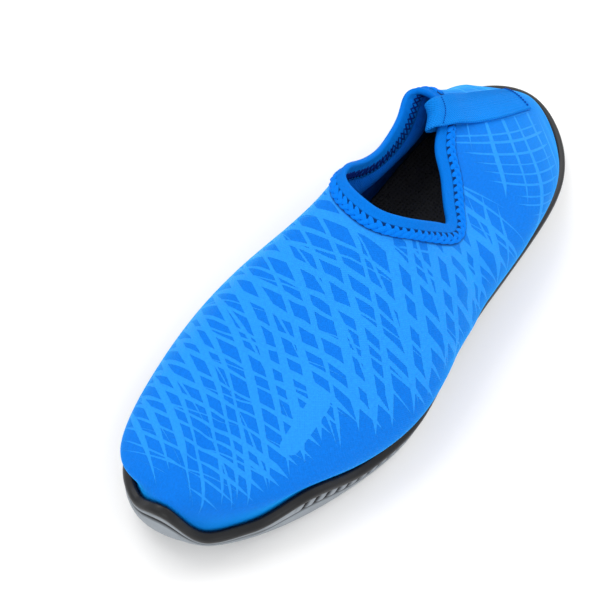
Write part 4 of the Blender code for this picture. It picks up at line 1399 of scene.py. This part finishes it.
class WaterShoeStage(bpy.types.PropertyGroup):
    """Floor, lights and camera."""

    floor: tint("Floor", "Pale floor", (0.92, 0.92, 0.92))
    surround: FloatProperty(name="Surround", description="Light from all round", default=0.96, min=0.0)
    key: power("Key light", "Power of the light over the inner side", 6.5)
    back: power("Back light", "Power of the light behind the heel", 5.0)
    front: power("Front light", "Power of the light before the toe", 4.0)
    bearing: angle("Bearing", "Camera's turn from the toe to the outer side", 22.0)
    elevation: angle("Elevation", "Camera's angle above the floor", 58.0)
    roll: angle("Roll", "Turn of the picture", 15.9)
    distance: FloatProperty(name="Distance", description="Camera to the spot it looks at", default=0.8,
                            unit="LENGTH")
    target: FloatVectorProperty(name="Target", description="Spot that the camera looks at",
                                default=(0.0, -0.100, 0.020), size=3, subtype="TRANSLATION", unit="LENGTH")
    aside: FloatProperty(name="Aside", description="Slope of the view to the right of the target",
                         default=(0.5 * PICTURE - AIM[0]) / FOCAL)
    above: FloatProperty(name="Above", description="Slope of the view above the target",
                         default=-(0.5 * PICTURE - AIM[1]) / FOCAL)
    lens: FloatProperty(name="Lens", description="Focal length", default=FOCAL / PICTURE * SENSOR,
                        unit="CAMERA")


# Operators


class WATERSHOE_OT_effects(bpy.types.Operator):
    """Make the shared shader groups."""

    bl_idname = "watershoe.effects"
    bl_label = "Shared effects"

    def execute(self, context):
        tapered_stripes()
        knit_grain()
        rubber_grain()
        return {"FINISHED"}


class WATERSHOE_OT_sole(bpy.types.Operator):
    """Make the sole's side, its tread and the bead round it."""

    bl_idname = "watershoe.sole"
    bl_label = "Sole and bead"

    def execute(self, context):
        make_sole_side(context.scene.water_shoe_sole)
        make_tread(context.scene.water_shoe_sole)
        make_bead(context.scene.water_shoe_sole)
        return {"FINISHED"}


class WATERSHOE_OT_upper(bpy.types.Operator):
    """Make the printed upper with its creases and lining."""

    bl_idname = "watershoe.upper"
    bl_label = "Upper"

    def execute(self, context):
        make_upper(context.scene.water_shoe_knit)
        return {"FINISHED"}


class WATERSHOE_OT_collar(bpy.types.Operator):
    """Make the collar's hem, its plaited coverstitch and the zigzag inside."""

    bl_idname = "watershoe.collar"
    bl_label = "Collar"

    def execute(self, context):
        make_hem(context.scene.water_shoe_knit)
        make_coverstitch(context.scene.water_shoe_knit)
        make_inner_zigzag(context.scene.water_shoe_knit)
        return {"FINISHED"}


class WATERSHOE_OT_pull_tape(bpy.types.Operator):
    """Make the woven pull tape and its stitches."""

    bl_idname = "watershoe.pull_tape"
    bl_label = "Pull tape"

    def execute(self, context):
        make_pull_tape(context.scene.water_shoe_loop)
        return {"FINISHED"}


class WATERSHOE_OT_insole(bpy.types.Operator):
    """Give the insole its mesh finish."""

    bl_idname = "watershoe.insole"
    bl_label = "Insole"

    def execute(self, context):
        dress_insole(context.scene.water_shoe_knit)
        return {"FINISHED"}


class WATERSHOE_OT_stage(bpy.types.Operator):
    """Make the floor, the lights and the camera."""

    bl_idname = "watershoe.stage"
    bl_label = "Stage"

    def execute(self, context):
        make_stage(context.scene.water_shoe_stage)
        return {"FINISHED"}


OPERATORS = (WATERSHOE_OT_effects, WATERSHOE_OT_sole, WATERSHOE_OT_upper, WATERSHOE_OT_collar,
             WATERSHOE_OT_pull_tape, WATERSHOE_OT_insole, WATERSHOE_OT_stage)


class WATERSHOE_PT_pieces(bpy.types.Panel):
    """Sidebar panel with the shoe's pieces."""

    bl_idname = "WATERSHOE_PT_pieces"
    bl_label = "Water Shoe"
    bl_space_type = "VIEW_3D"
    bl_region_type = "UI"
    bl_category = "Water Shoe"

    def draw(self, context):
        for operator in OPERATORS:
            self.layout.operator(operator.bl_idname)


GROUPS = {"water_shoe_knit": WaterShoeKnit, "water_shoe_loop": WaterShoeLoop,
          "water_shoe_sole": WaterShoeSole, "water_shoe_stage": WaterShoeStage}


def register():
    """Register the settings, operators and panel."""
    for name, group in GROUPS.items():
        bpy.utils.register_class(group)
        setattr(bpy.types.Scene, name, PointerProperty(type=group))
    for operator in OPERATORS:
        bpy.utils.register_class(operator)
    bpy.utils.register_class(WATERSHOE_PT_pieces)


def unregister():
    """Take them out again, last first."""
    bpy.utils.unregister_class(WATERSHOE_PT_pieces)
    for operator in reversed(OPERATORS):
        bpy.utils.unregister_class(operator)
    for name, group in reversed(list(GROUPS.items())):
        delattr(bpy.types.Scene, name)
        bpy.utils.unregister_class(group)


def main():
    """Build every piece in order."""
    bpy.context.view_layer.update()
    register()
    bpy.ops.watershoe.effects()
    bpy.ops.watershoe.sole()
    bpy.ops.watershoe.upper()
    bpy.ops.watershoe.collar()
    bpy.ops.watershoe.pull_tape()
    bpy.ops.watershoe.insole()
    bpy.ops.watershoe.stage()
    bpy.context.view_layer.update()


if __name__ == "__main__":
    main()
